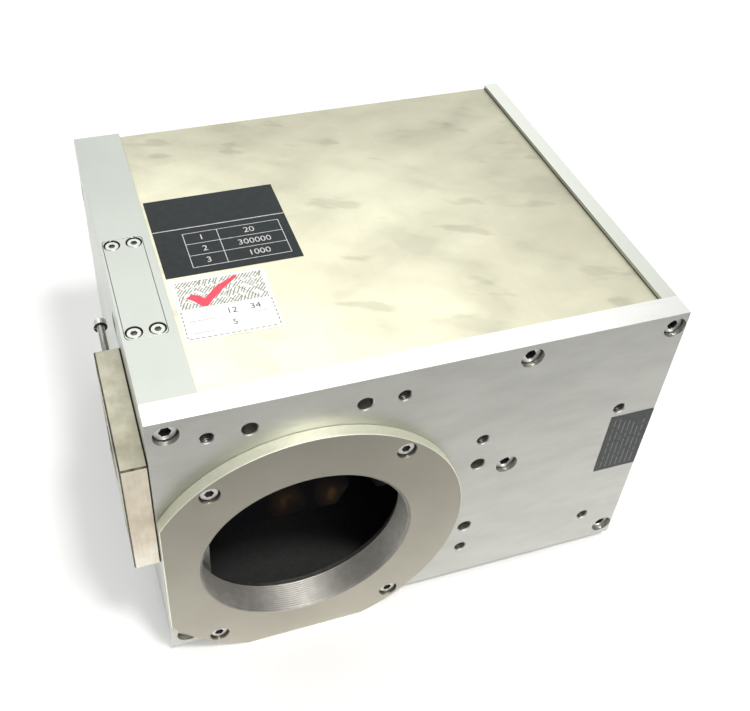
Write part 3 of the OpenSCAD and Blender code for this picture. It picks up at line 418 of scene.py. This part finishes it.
# layers of stains: stretch, turn in degrees, shift, and tones by place
stains = [
    ((34, 70, 34), 28, (1.7, 8.2, 0), (0.34, 0.88), (0.42, 0.95), (0.47, 0.96), (0.56, 1.0)),
    ((26, 52, 26), -24, (6.1, 3.4, 0), (0.34, 0.89), (0.42, 0.95), (0.50, 0.96), (0.58, 1.0)),
    ((40, 95, 40), 22, (2.9, 5.5, 0), (0.30, 0.84), (0.38, 1.0)),
]
for stretch, degrees, shift, *tones in stains:
    stain = grain(tree, stretch, detail=3, roughness=0.45, shift=shift, degrees=degrees)
    worn = mix(tree, 1.0, worn, ramp(tree, stain, *tones), "MULTIPLY")
tree.links.new(worn, shader.inputs["Base Color"])
tree.links.new(ramp(tree, blotches, (0.3, 0.50), (0.7, 0.40)), shader.inputs["Roughness"])
relief(tree, shader, streaks, 0.15)

bm = copy_of("top_plate")
break_edges(bm, edge_break)
blacken_inside(bm)
gap_shade_at = 2
# painted shade: the bevels beside the walls get the dark finish of the joints
for face in bm.faces:
    if abs(face.normal.x) > 0.5 and face.normal.z > 0.5:
        face.material_index = gap_shade_at
piece = show(bm, "chromated_top_plate", "housing", "yellow_cover", cover_finish, black_finish, shade_in_gap_finish)
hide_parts("top_plate")


# ---------------------------------------------------------------- port cover
# A small milled aluminium plate, anodised like the walls and let flush into the
# entrance wall over its access port. Four small screws sit in its counterbores.

port_break = 0.15 * mm
port_margin = 0.3 * mm
bore_shade_at = 1
bm = copy_of("port_cover")
break_edges(bm, port_break)
low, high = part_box("port_cover")
# painted shade: the walls and floors of the counterbores get the dark finish of the joints
for face in bm.faces:
    spot = face.calc_center_median()
    beside = min(spot.x - low.x, high.x - spot.x, spot.y - low.y, high.y - spot.y)
    sunk = spot.z < high.z - 0.2 * mm and face.normal.z > 0
    if beside > port_margin and (abs(face.normal.z) < 0.9 or sunk):
        face.material_index = bore_shade_at
piece = show(bm, "flush_port_cover", "housing", "anodised_wall", wall_finish, shade_in_gap_finish)
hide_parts("port_cover")


# ---------------------------------------------------------------- adapter ring
# Turned and faced aluminium with a chromate tint, with the fine objective
# thread cut in its bore. Four low-head screws hold it to the front plate.

core_r = 42 * mm
root_r = 42.6 * mm
pitch = 1 * mm
thread_end = 12.5 * mm
thread_room = 0.05 * mm
bore_reach = 0.9 * mm
mouth_bevel = 0.35 * mm
rim_from = 55 * mm
ring_break = 0.25 * mm
ring_bolts = [(sx * 37.25 * mm, sz * 46.75 * mm) for sx in (-1, 1) for sz in (-1, 1)]
bolt_round = 4.6 * mm
lit_rim_at, bore_shade_at = 1, 2

ring_finish, tree, shader = finish("ring_chromate", metallic=1.0)
turned = grain(tree, (260, 260, 260), detail=6, roughness=0.7)
clouds = grain(tree, (26, 26, 26), detail=3, shift=(2, 5, 1))
tone = ramp(tree, clouds, (0.3, (0.46, 0.435, 0.365)), (0.7, (0.51, 0.485, 0.415)))
# painted shade: the ring grows darker towards its top
shaded_by_height = mix(tree, 1.0, tone, tone_along(tree, -65 * mm, 1.0, 65 * mm, 0.68), "MULTIPLY")
lined = mix(tree, 0.4, shaded_by_height, ramp(tree, turned, (0.3, 0.86), (0.7, 1.0)), "MULTIPLY")
tree.links.new(lined, shader.inputs["Base Color"])
tree.links.new(ramp(tree, turned, (0.3, 0.44), (0.7, 0.54)), shader.inputs["Roughness"])
relief(tree, shader, turned, 0.15)

# painted light: a lighter, yellower copy of the chromate for the ring's outer rim
lit_rim_finish = brushed("ring_rim_painted_light", (0.84, 0.85, 0.68), (0.94, 0.95, 0.79), (500, 500, 500),
                     roughness=(0.40, 0.50))
lit_rim_finish.node_tree.nodes["Principled BSDF"].inputs["Metallic"].default_value = 0.6
# painted shade: a darker copy of the chromate for the screws' counterbores
bore_shade_finish = brushed("counterbore", (0.24, 0.225, 0.18), (0.36, 0.34, 0.28), (500, 500, 500),
                      roughness=(0.40, 0.50))

# the bore is opened to the thread's roots, and the ridges stand in it
bm = copy_of("adapter_ring")
for vert in bm.verts:
    across = math.hypot(vert.co.x, vert.co.z)
    if across < core_r + bore_reach:
        factor = (across + root_r - core_r + thread_room) / across
        vert.co.x *= factor
        vert.co.z *= factor
break_edges(bm, ring_break)
for face in bm.faces:
    spot = face.calc_center_median()
    # painted shade in the screws' counterbores; painted light on the outer rim
    if min(math.hypot(spot.x - x, spot.z - z) for x, z in ring_bolts) < bolt_round:
        face.material_index = bore_shade_at if spot.y > 0.1 * mm else 0
    elif abs(face.normal.y) < 0.9 and math.hypot(spot.x, spot.z) > rim_from:
        face.material_index = lit_rim_at
piece = show(bm, "turned_adapter_ring", "housing", "ring_metal", ring_finish, lit_rim_finish, bore_shade_finish)
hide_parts("adapter_ring")


def screw_ridges(inner, outer, pitch, start, end, steps, hollow):
    """A thread along +Z from start to end: a zigzag spun once with its lead."""
    bm = bmesh.new()
    crest, root = (inner, outer) if hollow else (outer, inner)
    flat = 0.12 * pitch
    turns = int((end - start) / pitch) + 3
    verts = []
    for i in range(turns):
        z = start + (i - 1) * pitch
        for offset, radius in ((0, root), (flat, root), (0.5 * pitch, crest), (0.5 * pitch + flat, crest)):
            verts.append(bm.verts.new((radius, 0, z + offset)))
    edges = [bm.edges.new(pair) for pair in zip(verts, verts[1:])]
    bmesh.ops.spin(bm, geom=verts + edges, cent=(0, 0, 0), axis=(0, 0, 1), dvec=(0, 0, pitch / steps),
                   angle=2 * math.pi, steps=steps, use_merge=False, use_duplicate=False)
    bmesh.ops.remove_doubles(bm, verts=bm.verts, dist=pitch * 0.02)
    for height, keep in ((start, -1), (end, 1)):
        bmesh.ops.bisect_plane(bm, geom=bm.verts[:] + bm.edges[:] + bm.faces[:], plane_co=(0, 0, height),
                               plane_no=(0, 0, keep), clear_outer=True)
    return bm


def point_normals(bm, inward):
    """Turns the faces of a sleeve round Z so that they look in or out."""
    bmesh.ops.recalc_face_normals(bm, faces=bm.faces)
    bm.faces.ensure_lookup_table()
    face = bm.faces[len(bm.faces) // 2]
    spot = face.calc_center_median()
    outwards = face.normal.x * spot.x + face.normal.y * spot.y > 0
    if outwards == inward:
        bmesh.ops.reverse_faces(bm, faces=bm.faces)


def tip_over(bm, degrees):
    """Tips a piece that is drawn along Z over the X axis: 90 points it to the front."""
    bmesh.ops.rotate(bm, verts=bm.verts, cent=(0, 0, 0), matrix=Matrix.Rotation(math.radians(degrees), 3, "X"))


bm = screw_ridges(core_r, root_r, pitch, -thread_end, -0.02 * mm, 240, hollow=True)
for vert in bm.verts:
    across = math.hypot(vert.co.x, vert.co.y)
    mouth = root_r + mouth_bevel + vert.co.z
    if across < mouth:
        vert.co.x *= mouth / across
        vert.co.y *= mouth / across
point_normals(bm, inward=True)
tip_over(bm, 90)
thread_finish, tree, shader = finish("cut_thread", metallic=1.0, roughness=0.53)
gloss = grain(tree, (300, 300, 300), detail=4)
metal = ramp(tree, gloss, (0.3, (0.375, 0.36, 0.335)), (0.7, (0.46, 0.445, 0.415)))
# painted shade: the thread is darker towards the bottom of the bore
shaded_by_height = mix(tree, 1.0, metal, tone_along(tree, -42 * mm, 0.85, -12 * mm, 1.0), "MULTIPLY")
tree.links.new(shaded_by_height, shader.inputs["Base Color"])
show(bm, "objective_thread", "housing", "ring_metal", thread_finish, sharp=math.pi)


# ---------------------------------------------------------------- entrance adapter
# A nickel-plated block on the entrance side, stained with use. Its bevelled
# edges carry a painted dark reflection, and four socket screws hold it to the wall.

def stained(name, low, middle, high):
    """Plated metal with stains of three tones and fine lines."""
    made, tree, shader = finish(name, metallic=1.0)
    lines = grain(tree, (1200, 60, 60), detail=6, roughness=0.7)
    stains = grain(tree, (55, 55, 40), detail=5, roughness=0.65, shift=(2, 2, 2))
    tone = ramp(tree, stains, (0.32, low), (0.5, middle), (0.68, high))
    lined = mix(tree, 0.4, tone, ramp(tree, lines, (0.3, 0.78), (0.7, 1.0)), "MULTIPLY")
    tree.links.new(lined, shader.inputs["Base Color"])
    tree.links.new(ramp(tree, stains, (0.3, 0.48), (0.7, 0.32)), shader.inputs["Roughness"])
    relief(tree, shader, lines, 0.2)
    return made


block_finish = stained("stained_nickel", (0.29, 0.27, 0.20), (0.36, 0.345, 0.27), (0.44, 0.42, 0.345))
# painted light: a much lighter copy of the stained nickel for the block's front end
lit_block_end_finish = stained("stained_nickel_lit_end", (0.66, 0.58, 0.46), (0.80, 0.73, 0.60), (0.88, 0.84, 0.74))
bevel_reflection_finish = speckled("bevel_painted_reflection", 400, (0.05, 0.045, 0.035), (0.16, 0.145, 0.115),
                        detail=4, span=(0.35, 0.7), metallic=1.0, roughness=0.45)

bm = copy_of("entrance_adapter")
low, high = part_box("entrance_adapter")
middle, half = (low + high) / 2, (high - low) / 2
bevel_reflection_at, lit_end_at = 1, 2
for face in bm.faces:
    largest = max(abs(c) for c in face.normal)
    outside = max(abs(c) / reach for c, reach in zip(face.calc_center_median() - middle, half))
    # painted dark reflection on the bevels
    if largest < 0.9 and outside > 0.85:
        face.material_index = bevel_reflection_at
    if face.normal.y < -0.9:
        face.material_index = lit_end_at
piece = show(bm, "stained_entrance_block", "housing", "nickel_block", block_finish, bevel_reflection_finish,
             lit_block_end_finish)
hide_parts("entrance_adapter")


# ---------------------------------------------------------------- screws
# Stainless socket screws in counterbores. The hexagon sockets are painted dark
# for the shade in them. The tapped and dowel holes between them are for the head's mounting.

steel_finish = brushed("screw_steel", (0.58, 0.58, 0.56), (0.74, 0.74, 0.72), (900, 900, 900),
                       smudge=0.15, roughness=(0.26, 0.40), bump=0.2)
# painted shade: near black for the inside of the sockets
socket_shade_finish = speckled("socket_painted_shade", 900, 0.012, 0.05)
dull_finish = brushed("dull_steel", (0.50, 0.52, 0.48), (0.60, 0.62, 0.57), (700, 700, 700),
                      roughness=(0.36, 0.46))
# painted shade in the port cover screws' sockets, a little lighter
port_socket_shade_finish = speckled("port_socket_painted_shade", 1500, 0.06, 0.22, span=(0.35, 0.65), metallic=0.6)
# painted shade: a dark copy of bare metal for the tapped threads
tap_shade_finish = brushed("tapped_hole", (0.10, 0.10, 0.09), (0.20, 0.20, 0.19), (600, 600, 600))


def islands(bm):
    """The separate solids of a mesh, each a list of its verts."""
    found, seen = [], set()
    for start in bm.verts:
        if start in seen:
            continue
        group, waiting = [], [start]
        seen.add(start)
        while waiting:
            vert = waiting.pop()
            group.append(vert)
            for edge in vert.link_edges:
                other = edge.other_vert(vert)
                if other not in seen:
                    seen.add(other)
                    waiting.append(other)
        found.append(group)
    return found


def shade_sockets(bm, axis, head_r):
    """Second finish, painted shade, on the faces inside each screw's socket."""
    entrance_side = inner_low.x + 20 * mm
    socket_r, socket_depth = 0.66 * head_r, 2 * head_r
    for group in islands(bm):
        middle = sum((v.co for v in group), Vector()) / len(group)
        outward = -axis if axis.x and middle.x < entrance_side else axis
        top = max(v.co.dot(outward) for v in group)
        for face in {f for v in group for f in v.link_faces}:
            spot = face.calc_center_median()
            level = top - max(v.co.dot(outward) for v in face.verts)
            depth = top - spot.dot(outward)
            off = spot - middle
            across = (off - off.dot(outward) * outward).length
            facing = face.normal.dot(outward)
            if across < socket_r and depth < socket_depth and (facing < 0.3 or level > 0.2 * mm):
                face.material_index = 1


def coat(made, *nodes):
    """Gives a finish to CAD nodes that keep their own mesh."""
    for node in nodes:
        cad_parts[node].data.materials[0] = made


# radii of the screws' heads in mm
m3_head, m4_head, m5_head = 2.75, 3.5, 4.25
# node, the screws' axis, radius of the head; those on the entrance side look to -X
socket_screws = [
    ("front_plate_screws", (0, -1, 0), m5_head), ("adapter_ring_screws", (0, -1, 0), m4_head),
    ("port_cover_screws", (0, 0, 1), m3_head), ("entrance_adapter_screws", (1, 0, 0), m4_head),
    ("back_plate_screws", (1, 0, 0), m4_head), ("bottom_cover_screws", (0, 0, -1), m3_head),
    ("top_plate_screws", (1, 0, 0), m4_head), ("x_galvo_plate_screws", (1, 0, 0), m5_head),
]
for node, outward, head_r in socket_screws:
    bm = copy_of(node)
    shade_sockets(bm, Vector(outward), head_r * mm)
    finishes = (dull_finish, port_socket_shade_finish) if node == "port_cover_screws" else (steel_finish, socket_shade_finish)
    piece = show(bm, "greased_" + node, "housing", "screw_steel", *finishes)
    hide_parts(node)
coat(steel_finish, "galvo_clamp_screws", "board_screws")

# the long screw of the entrance block, with its thread
low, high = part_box("side_screw")
side_major, side_core, side_pitch = 1.5 * mm, 1.25 * mm, 0.5 * mm
side_tip, side_runout = 0.4 * mm, 0.5 * mm
head_seat = high.y - 3 * mm
across, up = (low.x + high.x) / 2, (low.z + high.z) / 2
bm = copy_of("side_screw")
shade_sockets(bm, Vector((0, 1, 0)), m3_head * mm)
for vert in bm.verts:
    if vert.co.y < head_seat + 0.01 * mm and math.hypot(vert.co.x - across, vert.co.z - up) < side_major * 1.05:
        vert.co.x = across + (vert.co.x - across) * side_core / side_major
        vert.co.z = up + (vert.co.z - up) * side_core / side_major
ridges = screw_ridges(side_core - 0.02 * mm, side_major, side_pitch, 0,
                      head_seat + side_runout - low.y - side_tip, 24, hollow=False)
point_normals(ridges, inward=False)
tip_over(ridges, -90)
bmesh.ops.translate(ridges, verts=ridges.verts, vec=(across, low.y + side_tip, up))
ridge_mesh = bpy.data.meshes.new("side_screw_ridges")
ridges.to_mesh(ridge_mesh)
ridges.free()
bm.from_mesh(ridge_mesh)
piece = show(bm, "threaded_side_screw", "housing", "screw_steel", steel_finish, socket_shade_finish)
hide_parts("side_screw")

# one tapped hole's thread, copied to all six
tap_row, tap_far, tap_half = 72, 132.6, 36
tap_holes = [(sign * tap_half, tap_row) for sign in (-1, 1)]
tap_holes += [(x, sign * tap_half) for x in (tap_row, tap_far) for sign in (-1, 1)]
tap_mouth, tap_end = 5.35 * mm, 13.5 * mm
bm = screw_ridges(2.2 * mm, 2.48 * mm, pitch, -tap_end, -tap_mouth, 40, hollow=True)
point_normals(bm, inward=True)
tip_over(bm, 90)
first = bm.verts[:] + bm.edges[:] + bm.faces[:]
for x, z in tap_holes:
    made = bmesh.ops.duplicate(bm, geom=first)["geom"]
    moved = [v for v in made if isinstance(v, bmesh.types.BMVert)]
    bmesh.ops.translate(bm, verts=moved, vec=(x * mm, 0, z * mm))
bmesh.ops.delete(bm, geom=[g for g in first if isinstance(g, bmesh.types.BMVert)], context="VERTS")
show(bm, "tapped_holes", "housing", "anodised_front", tap_shade_finish)


# ---------------------------------------------------------------- mirrors
# Light mirrors coated for an invisible beam: dark glass to the eye, with painted
# amber reflections. Each is glued into a turned mount on its galvanometer's shaft.

def glints(tree, *spots):
    """Painted glints as soft round spots: each is its middle and its radius in mm."""
    total = None
    for middle, radius in spots:
        mapping = add(tree, "ShaderNodeMapping", Scale=[1 / (radius * mm)] * 3,
                      Location=[-c / radius for c in middle])
        ball = add(tree, "ShaderNodeTexGradient", gradient_type="SPHERICAL")
        tree.links.new(object_spot(tree), mapping.inputs["Vector"])
        tree.links.new(mapping.outputs[0], ball.inputs["Vector"])
        total = ball.outputs["Color"] if total is None else mix(tree, 1.0, total, ball.outputs["Color"], "ADD")
    return total


mirror_finish, tree, shader = finish("coated_mirror", metallic=1.0, roughness=0.05)
shader.inputs["Specular Tint"].default_value = (0.03, 0.03, 0.03, 1)
film = grain(tree, (90, 90, 90), detail=2, roughness=0.5, shift=(0.31, 0.12, 0.4))
# painted reflections: three amber glints in the mirror's colour
spots = glints(tree, ((0.6, 32.2, -12.8), 9), ((20, 31.3, -11.6), 8), ((26.5, 30.5, -10.8), 3.5))
amber = mix(tree, 1.0, spots, ramp(tree, film, (0.35, 0.3), (0.6, 1.0)), "MULTIPLY")
glass = ramp(tree, amber, (0.0, (0.0015, 0.0015, 0.0018)), (0.5, (0.005, 0.0035, 0.0025)),
             (0.8, (0.018, 0.010, 0.004)), (0.97, (0.12, 0.06, 0.015)))
tree.links.new(glass, shader.inputs["Base Color"])
inner_finish = brushed("inner_aluminium", (0.30, 0.30, 0.30), (0.38, 0.38, 0.38), (700, 700, 700))
coat(mirror_finish, "x_mirror", "y_mirror")
coat(inner_finish, "x_mirror_mount", "y_mirror_mount", "x_galvo_plate", "y_galvo_plate")


# ---------------------------------------------------------------- galvanometers
# Black anodised shells with copper coils, ground shafts in ball bearings, ring
# magnets and the discs of their position detectors. Each shell is clamped in a
# slit aluminium plate.

copper_finish = speckled("coil_copper", 2500, (0.45, 0.20, 0.09), (0.70, 0.36, 0.20),
                         detail=2, metallic=1.0, roughness=0.35)
ground_finish = brushed("machined_steel", (0.45, 0.46, 0.47), (0.58, 0.59, 0.60), (700, 700, 700),
                        roughness=(0.18, 0.28))
magnet_finish = brushed("magnet_metal", (0.22, 0.22, 0.24), (0.32, 0.32, 0.34), (500, 500, 500))
for galvo in ("x_", "y_"):
    coat(black_finish, galvo + "galvo_shell", galvo + "galvo_cap", galvo + "detector_vane")
    coat(copper_finish, galvo + "galvo_coil")
    coat(ground_finish, galvo + "galvo_end_bell", galvo + "galvo_bearings", galvo + "shaft")
    coat(magnet_finish, galvo + "magnet")


# ---------------------------------------------------------------- electronics
# Two green servo boards with their chips, heat sinks and capacitors, screwed to
# the side wall on brass spacers, and two D connectors in the back plate, each
# with gold contacts in a black insert.

board_finish = speckled("board_green", 1500, (0.012, 0.075, 0.030), (0.020, 0.105, 0.045),
                        detail=2, roughness=0.35)
chip_finish = speckled("chip_black", 900, 0.012, 0.024)
header_finish = speckled("header_plastic", 900, (0.62, 0.58, 0.48), (0.70, 0.66, 0.56), roughness=0.45)
insert_finish = speckled("connector_insert", 1200, 0.014, 0.026, roughness=0.45)
gold_finish = brushed("contact_gold", (0.62, 0.46, 0.16), (0.78, 0.60, 0.26), (2000, 2000, 2000))
brass_finish = brushed("spacer_brass", (0.55, 0.42, 0.20), (0.72, 0.58, 0.30), (800, 800, 800))
plug_finish = brushed("connector_metal", (0.46, 0.46, 0.42), (0.58, 0.58, 0.53), (800, 800, 800))
coat(board_finish, "x_detector_board", "y_detector_board")
coat(brass_finish, "board_spacers")
coat(plug_finish, "connector_jackscrews")

board_t = 1.6 * mm
header_l = 20 * mm
header_at, chip_at, sink_at, can_at = 1, 2, 3, 4
# from and to above the board's lower edge, and the finish of what stands there
board_parts = [(21 * mm, 43 * mm, can_at), (43 * mm, 59 * mm, chip_at), (73 * mm, 91 * mm, sink_at)]
for node in ("x_servo_board", "y_servo_board"):
    low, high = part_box(node)
    bm = copy_of(node)
    for face in bm.faces:
        spot = face.calc_center_median()
        if high.x - board_t - spot.x < 0.1 * mm:
            continue
        face.material_index = header_at
        for start, end, index in board_parts:
            if start < spot.z - low.z < end and (index != can_at or spot.y < high.y - header_l):
                face.material_index = index
    piece = show(bm, "fitted_" + node, "housing", "board_green", board_finish, header_finish, chip_finish,
                 inner_finish, steel_finish)
    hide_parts(node)

plate_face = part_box("back_plate")[1].y
flange_top, insert_inset, insert_half = 1.1 * mm, 7.75 * mm, 3.4 * mm
contact_inset, contact_half, contact_depth = 8.6 * mm, 2.3 * mm, 2 * mm
insert_at, gold_at = 1, 2
for node in ("signal_connector", "power_connector"):
    low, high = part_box(node)
    half_w = (high.x - low.x) / 2
    bm = copy_of(node)
    for face in bm.faces:
        spot = face.calc_center_median()
        off_x, off_z = abs(spot.x - (low.x + high.x) / 2), abs(spot.z - (low.z + high.z) / 2)
        if spot.y < plate_face + flange_top or off_x > half_w - insert_inset or off_z > insert_half:
            continue
        contact = off_z < contact_half and off_x < half_w - contact_inset
        deep = abs(face.normal.y) < 0.5 or spot.y < high.y - contact_depth
        face.material_index = gold_at if contact and deep else insert_at
    piece = show(bm, "plated_" + node, "housing", "connector_metal", plug_finish, insert_finish, gold_finish)
    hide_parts(node)


# ---------------------------------------------------------------- seals
# Two black rubber rings of round cord, which keep dust off the mirrors. One lies
# in a groove in the back of the objective ring, and one in a groove in the
# entrance wall, behind the block.

rubber_finish = speckled("seal_rubber", 2000, 0.010, 0.020, detail=2, roughness=0.6)
coat(rubber_finish, "ring_seal", "entrance_seal")


# ---------------------------------------------------------------- labels
# A black film with the rating table, a white inspection sticker with a red tick
# and a dark film on the front plate, all printed and glued on. Plain numbers and
# bars stand for their words.

black_label = speckled("label_black", 300, (0.007, 0.011, 0.012), (0.013, 0.019, 0.021),
                       detail=5, span=(0.35, 0.75), specular=0.25)
white_label = speckled("sticker_white", 300, (0.80, 0.80, 0.78), (0.86, 0.86, 0.84), roughness=0.45)
grey_label = speckled("label_dark", 400, (0.040, 0.043, 0.045), (0.065, 0.069, 0.071),
                      detail=5, span=(0.35, 0.75), specular=0.3)
coat(black_label, "rating_label")
coat(white_label, "inspection_sticker")
coat(grey_label, "front_label")
label_slots = {"rating_label": "label_black", "inspection_sticker": "sticker_white", "front_label": "label_dark"}
ink_t = 0.02 * mm
lift = 0.01 * mm


def ink(name, dark, light):
    """A printing ink, a little uneven."""
    return speckled(name, 900, dark, light, detail=4)


def bar(u, v, width, height):
    """A rectangle from its lower left corner, as an outline."""
    return [(u, v), (u + width, v), (u + width, v + height), (u, v + height)]


def frame_of(u, v, width, height, line):
    """The four sides of a ruled frame."""
    return [bar(u, v, width, line), bar(u, v + height - line, width, line),
            bar(u, v + line, line, height - 2 * line), bar(u + width - line, v + line, line, height - 2 * line)]


def printed(name, node, corner, turn, outlines, numbers, made):
    """Thin films of ink: outlines and numbers, in mm from a label's corner."""
    bm = bmesh.new()
    for outline in outlines:
        bm.faces.new([bm.verts.new((u * mm, v * mm, 0)) for u, v in outline])
    if bm.faces:
        raised = bmesh.ops.extrude_face_region(bm, geom=bm.faces[:])["geom"]
        bmesh.ops.translate(bm, verts=[g for g in raised if isinstance(g, bmesh.types.BMVert)], vec=(0, 0, ink_t))
    for body, u, v, size in numbers:
        curve = bpy.data.curves.new("numbers", "FONT")
        curve.body = body
        curve.size = size * mm
        curve.extrude = ink_t / 2
        writer = bpy.data.objects.new("numbers", curve)
        letters = bpy.data.meshes.new_from_object(writer)
        letters.transform(Matrix.Translation((u * mm, v * mm, ink_t / 2)))
        bm.from_mesh(letters)
        bpy.data.objects.remove(writer)
    bmesh.ops.transform(bm, verts=bm.verts, matrix=Matrix.Translation(corner) @ turn)
    bmesh.ops.recalc_face_normals(bm, faces=bm.faces)
    return show(bm, name, "housing", label_slots[node], made, smooth=False)


# the rating label's header rule and its table of three rows, in mm
white_ink = ink("white_ink", 0.42, 0.62)
low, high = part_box("rating_label")
rating_w = (high.x - low.x) / mm
table_u, table_v, table_w, table_h, first_w = 11.3, 3.6, 39.9, 21.8, 13.9
line, row_h = 0.3, table_h / 3
header_v, header_line, header_inset = 28.7, 0.45, 0.2
number_h, number_up = 4.6, 2.2
rules = frame_of(table_u, table_v, table_w, table_h, line)
rules += [bar(table_u + line, table_v + i * row_h, table_w - 2 * line, line) for i in (1, 2)]
rules += [bar(table_u + first_w, table_v + i * row_h + line, line, row_h - (line if i < 2 else 2 * line))
          for i in range(3)]
rules += [bar(header_inset, header_v, rating_w - 2 * header_inset, header_line)]
rows_v = [table_v + (2 - i) * row_h + number_up for i in range(3)]
cells = [(str(i + 1), table_u + 6, v, number_h) for i, v in enumerate(rows_v)]
cells += [(body, table_u + first_w + u, v, number_h)
          for v, (body, u) in zip(rows_v, (("20", 10.5), ("300000", 6.5), ("1000", 9)))]
printed("rating_print", "rating_label", Vector((low.x, low.y, high.z + lift)), Matrix.Identity(4),
        rules, cells, white_ink)

# the sticker: a hatched upper part, a dashed border, dotted lines and a tick
sticker_middle = Vector((-16.3, 58, 0)) * mm
sticker_w, sticker_h, sticker_turn = 36.6, 33.8, math.radians(-1)
low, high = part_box("inspection_sticker")
turn = Matrix.Rotation(sticker_turn, 4, "Z")
corner = sticker_middle - turn.to_3x3() @ Vector((sticker_w / 2, sticker_h / 2, 0)) * mm
corner.z = high.z + lift
hatch_low, hatch_high, hatch_margin = 0.50 * sticker_h, sticker_h - 1.3, 1.6
bm = bmesh.new()
rise = hatch_high - hatch_low
stroke_step, stroke_w, cross_step, cross_w = 1.3, 0.58, 4.6, 0.3
for i in range(-14, 34):
    broken = [0, 0.27 + 0.05 * math.sin(i * 1.3), 0.55 + 0.06 * math.sin(i * 0.9 + 1),
              0.78 + 0.04 * math.sin(i * 2.1), 1.05]
    for j in range(4):
        a, b = broken[j] + 0.02, broken[j + 1] - 0.05
        lean = 0.8 if (i // 6 + j) % 3 else 0.45
        u = i * stroke_step + 0.8 * a * rise
        over = u + lean * (b - a) * rise
        outline = [(u, a), (u + stroke_w, a), (over + stroke_w, b), (over, b)]
        bm.faces.new([bm.verts.new((x * mm, (hatch_low + y * rise) * mm, 0)) for x, y in outline])
for i in range(11):
    u, over = i * cross_step, i * cross_step - 0.9 * rise
    outline = [(u, 0), (u + cross_w, 0), (over + cross_w, 1), (over, 1)]
    bm.faces.new([bm.verts.new((x * mm, (hatch_low + y * rise) * mm, 0.004 * mm)) for x, y in outline])
for side, keep in ((hatch_margin, -1), (sticker_w - hatch_margin, 1)):
    bmesh.ops.bisect_plane(bm, geom=bm.verts[:] + bm.edges[:] + bm.faces[:], plane_co=(side * mm, 0, 0),
                           plane_no=(keep, 0, 0), clear_outer=True)
hatch = [[(v.co.x / mm, v.co.y / mm) for v in face.verts] for face in bm.faces]
bm.free()
dash, dash_step, dash_w, border = 1.3, 2.2, 0.45, 0.9
for i in range(int((sticker_w - 3) / dash_step)):
    hatch.append(bar(hatch_margin + i * dash_step, border, dash, dash_w))
for i in range(int(hatch_low / dash_step)):
    hatch.append(bar(border, hatch_margin + i * dash_step, dash_w, dash))
    hatch.append(bar(sticker_w - border - dash_w, hatch_margin + i * dash_step, dash_w, dash))
# lines of small print: where they start, their height and their number of marks
for start, up, count in ((3.5, 10.0, 10), (3.5, 3.6, 8), (29.0, 10.0, 4)):
    hatch += [bar(start + i, up, 0.6, 0.35) for i in range(count)]
grey_ink = ink("grey_ink", (0.20, 0.22, 0.16), (0.32, 0.34, 0.25))
printed("sticker_print", "inspection_sticker", corner, turn, hatch, [], grey_ink)
tick = [(4.4, 23.3), (7.0, 24.8), (9.8, 23.6), (11.1, 21.7), (17.0, 27.8), (25.1, 32.4), (25.5, 31.1),
        (18.9, 25.4), (14.1, 20.4), (11.6, 17.2), (9.5, 17.5), (6.8, 21.2)]
red_ink = ink("red_ink", (0.72, 0.035, 0.075), (0.82, 0.07, 0.11))
over_print = Vector((0, 0, 0.03 * mm))
printed("sticker_tick", "inspection_sticker", corner + over_print, turn, [tick], [], red_ink)
pen_ink = ink("pen_ink", 0.03, 0.08)
printed("sticker_numbers", "inspection_sticker", corner, turn, [],
        [("12", 17.5, 11.6, 4.2), ("34", 26.5, 12.0, 4.2), ("5", 18.5, 5.2, 4.0)], pen_ink)

# the front label: seven upright rows of bars in place of small print
low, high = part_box("front_label")
faint_ink = ink("faint_ink", 0.09, 0.19)
margin, row_step, bar_w, word_space, text_end = 2.2, 2.4, 0.55, 1.2, 33
words = []
for row in range(7):
    v = 2.0
    length = 4.0 + (row * 5) % 7
    while v + length < text_end:
        words.append(bar(margin + row * row_step, v, bar_w, length))
        v += length + word_space
        length = 2.5 + (length * 3 + row) % 6
stand = Matrix.Rotation(math.radians(90), 4, "X")
printed("front_label_print", "front_label", Vector((low.x, low.y - lift, low.z)), stand, words, [], faint_ink)
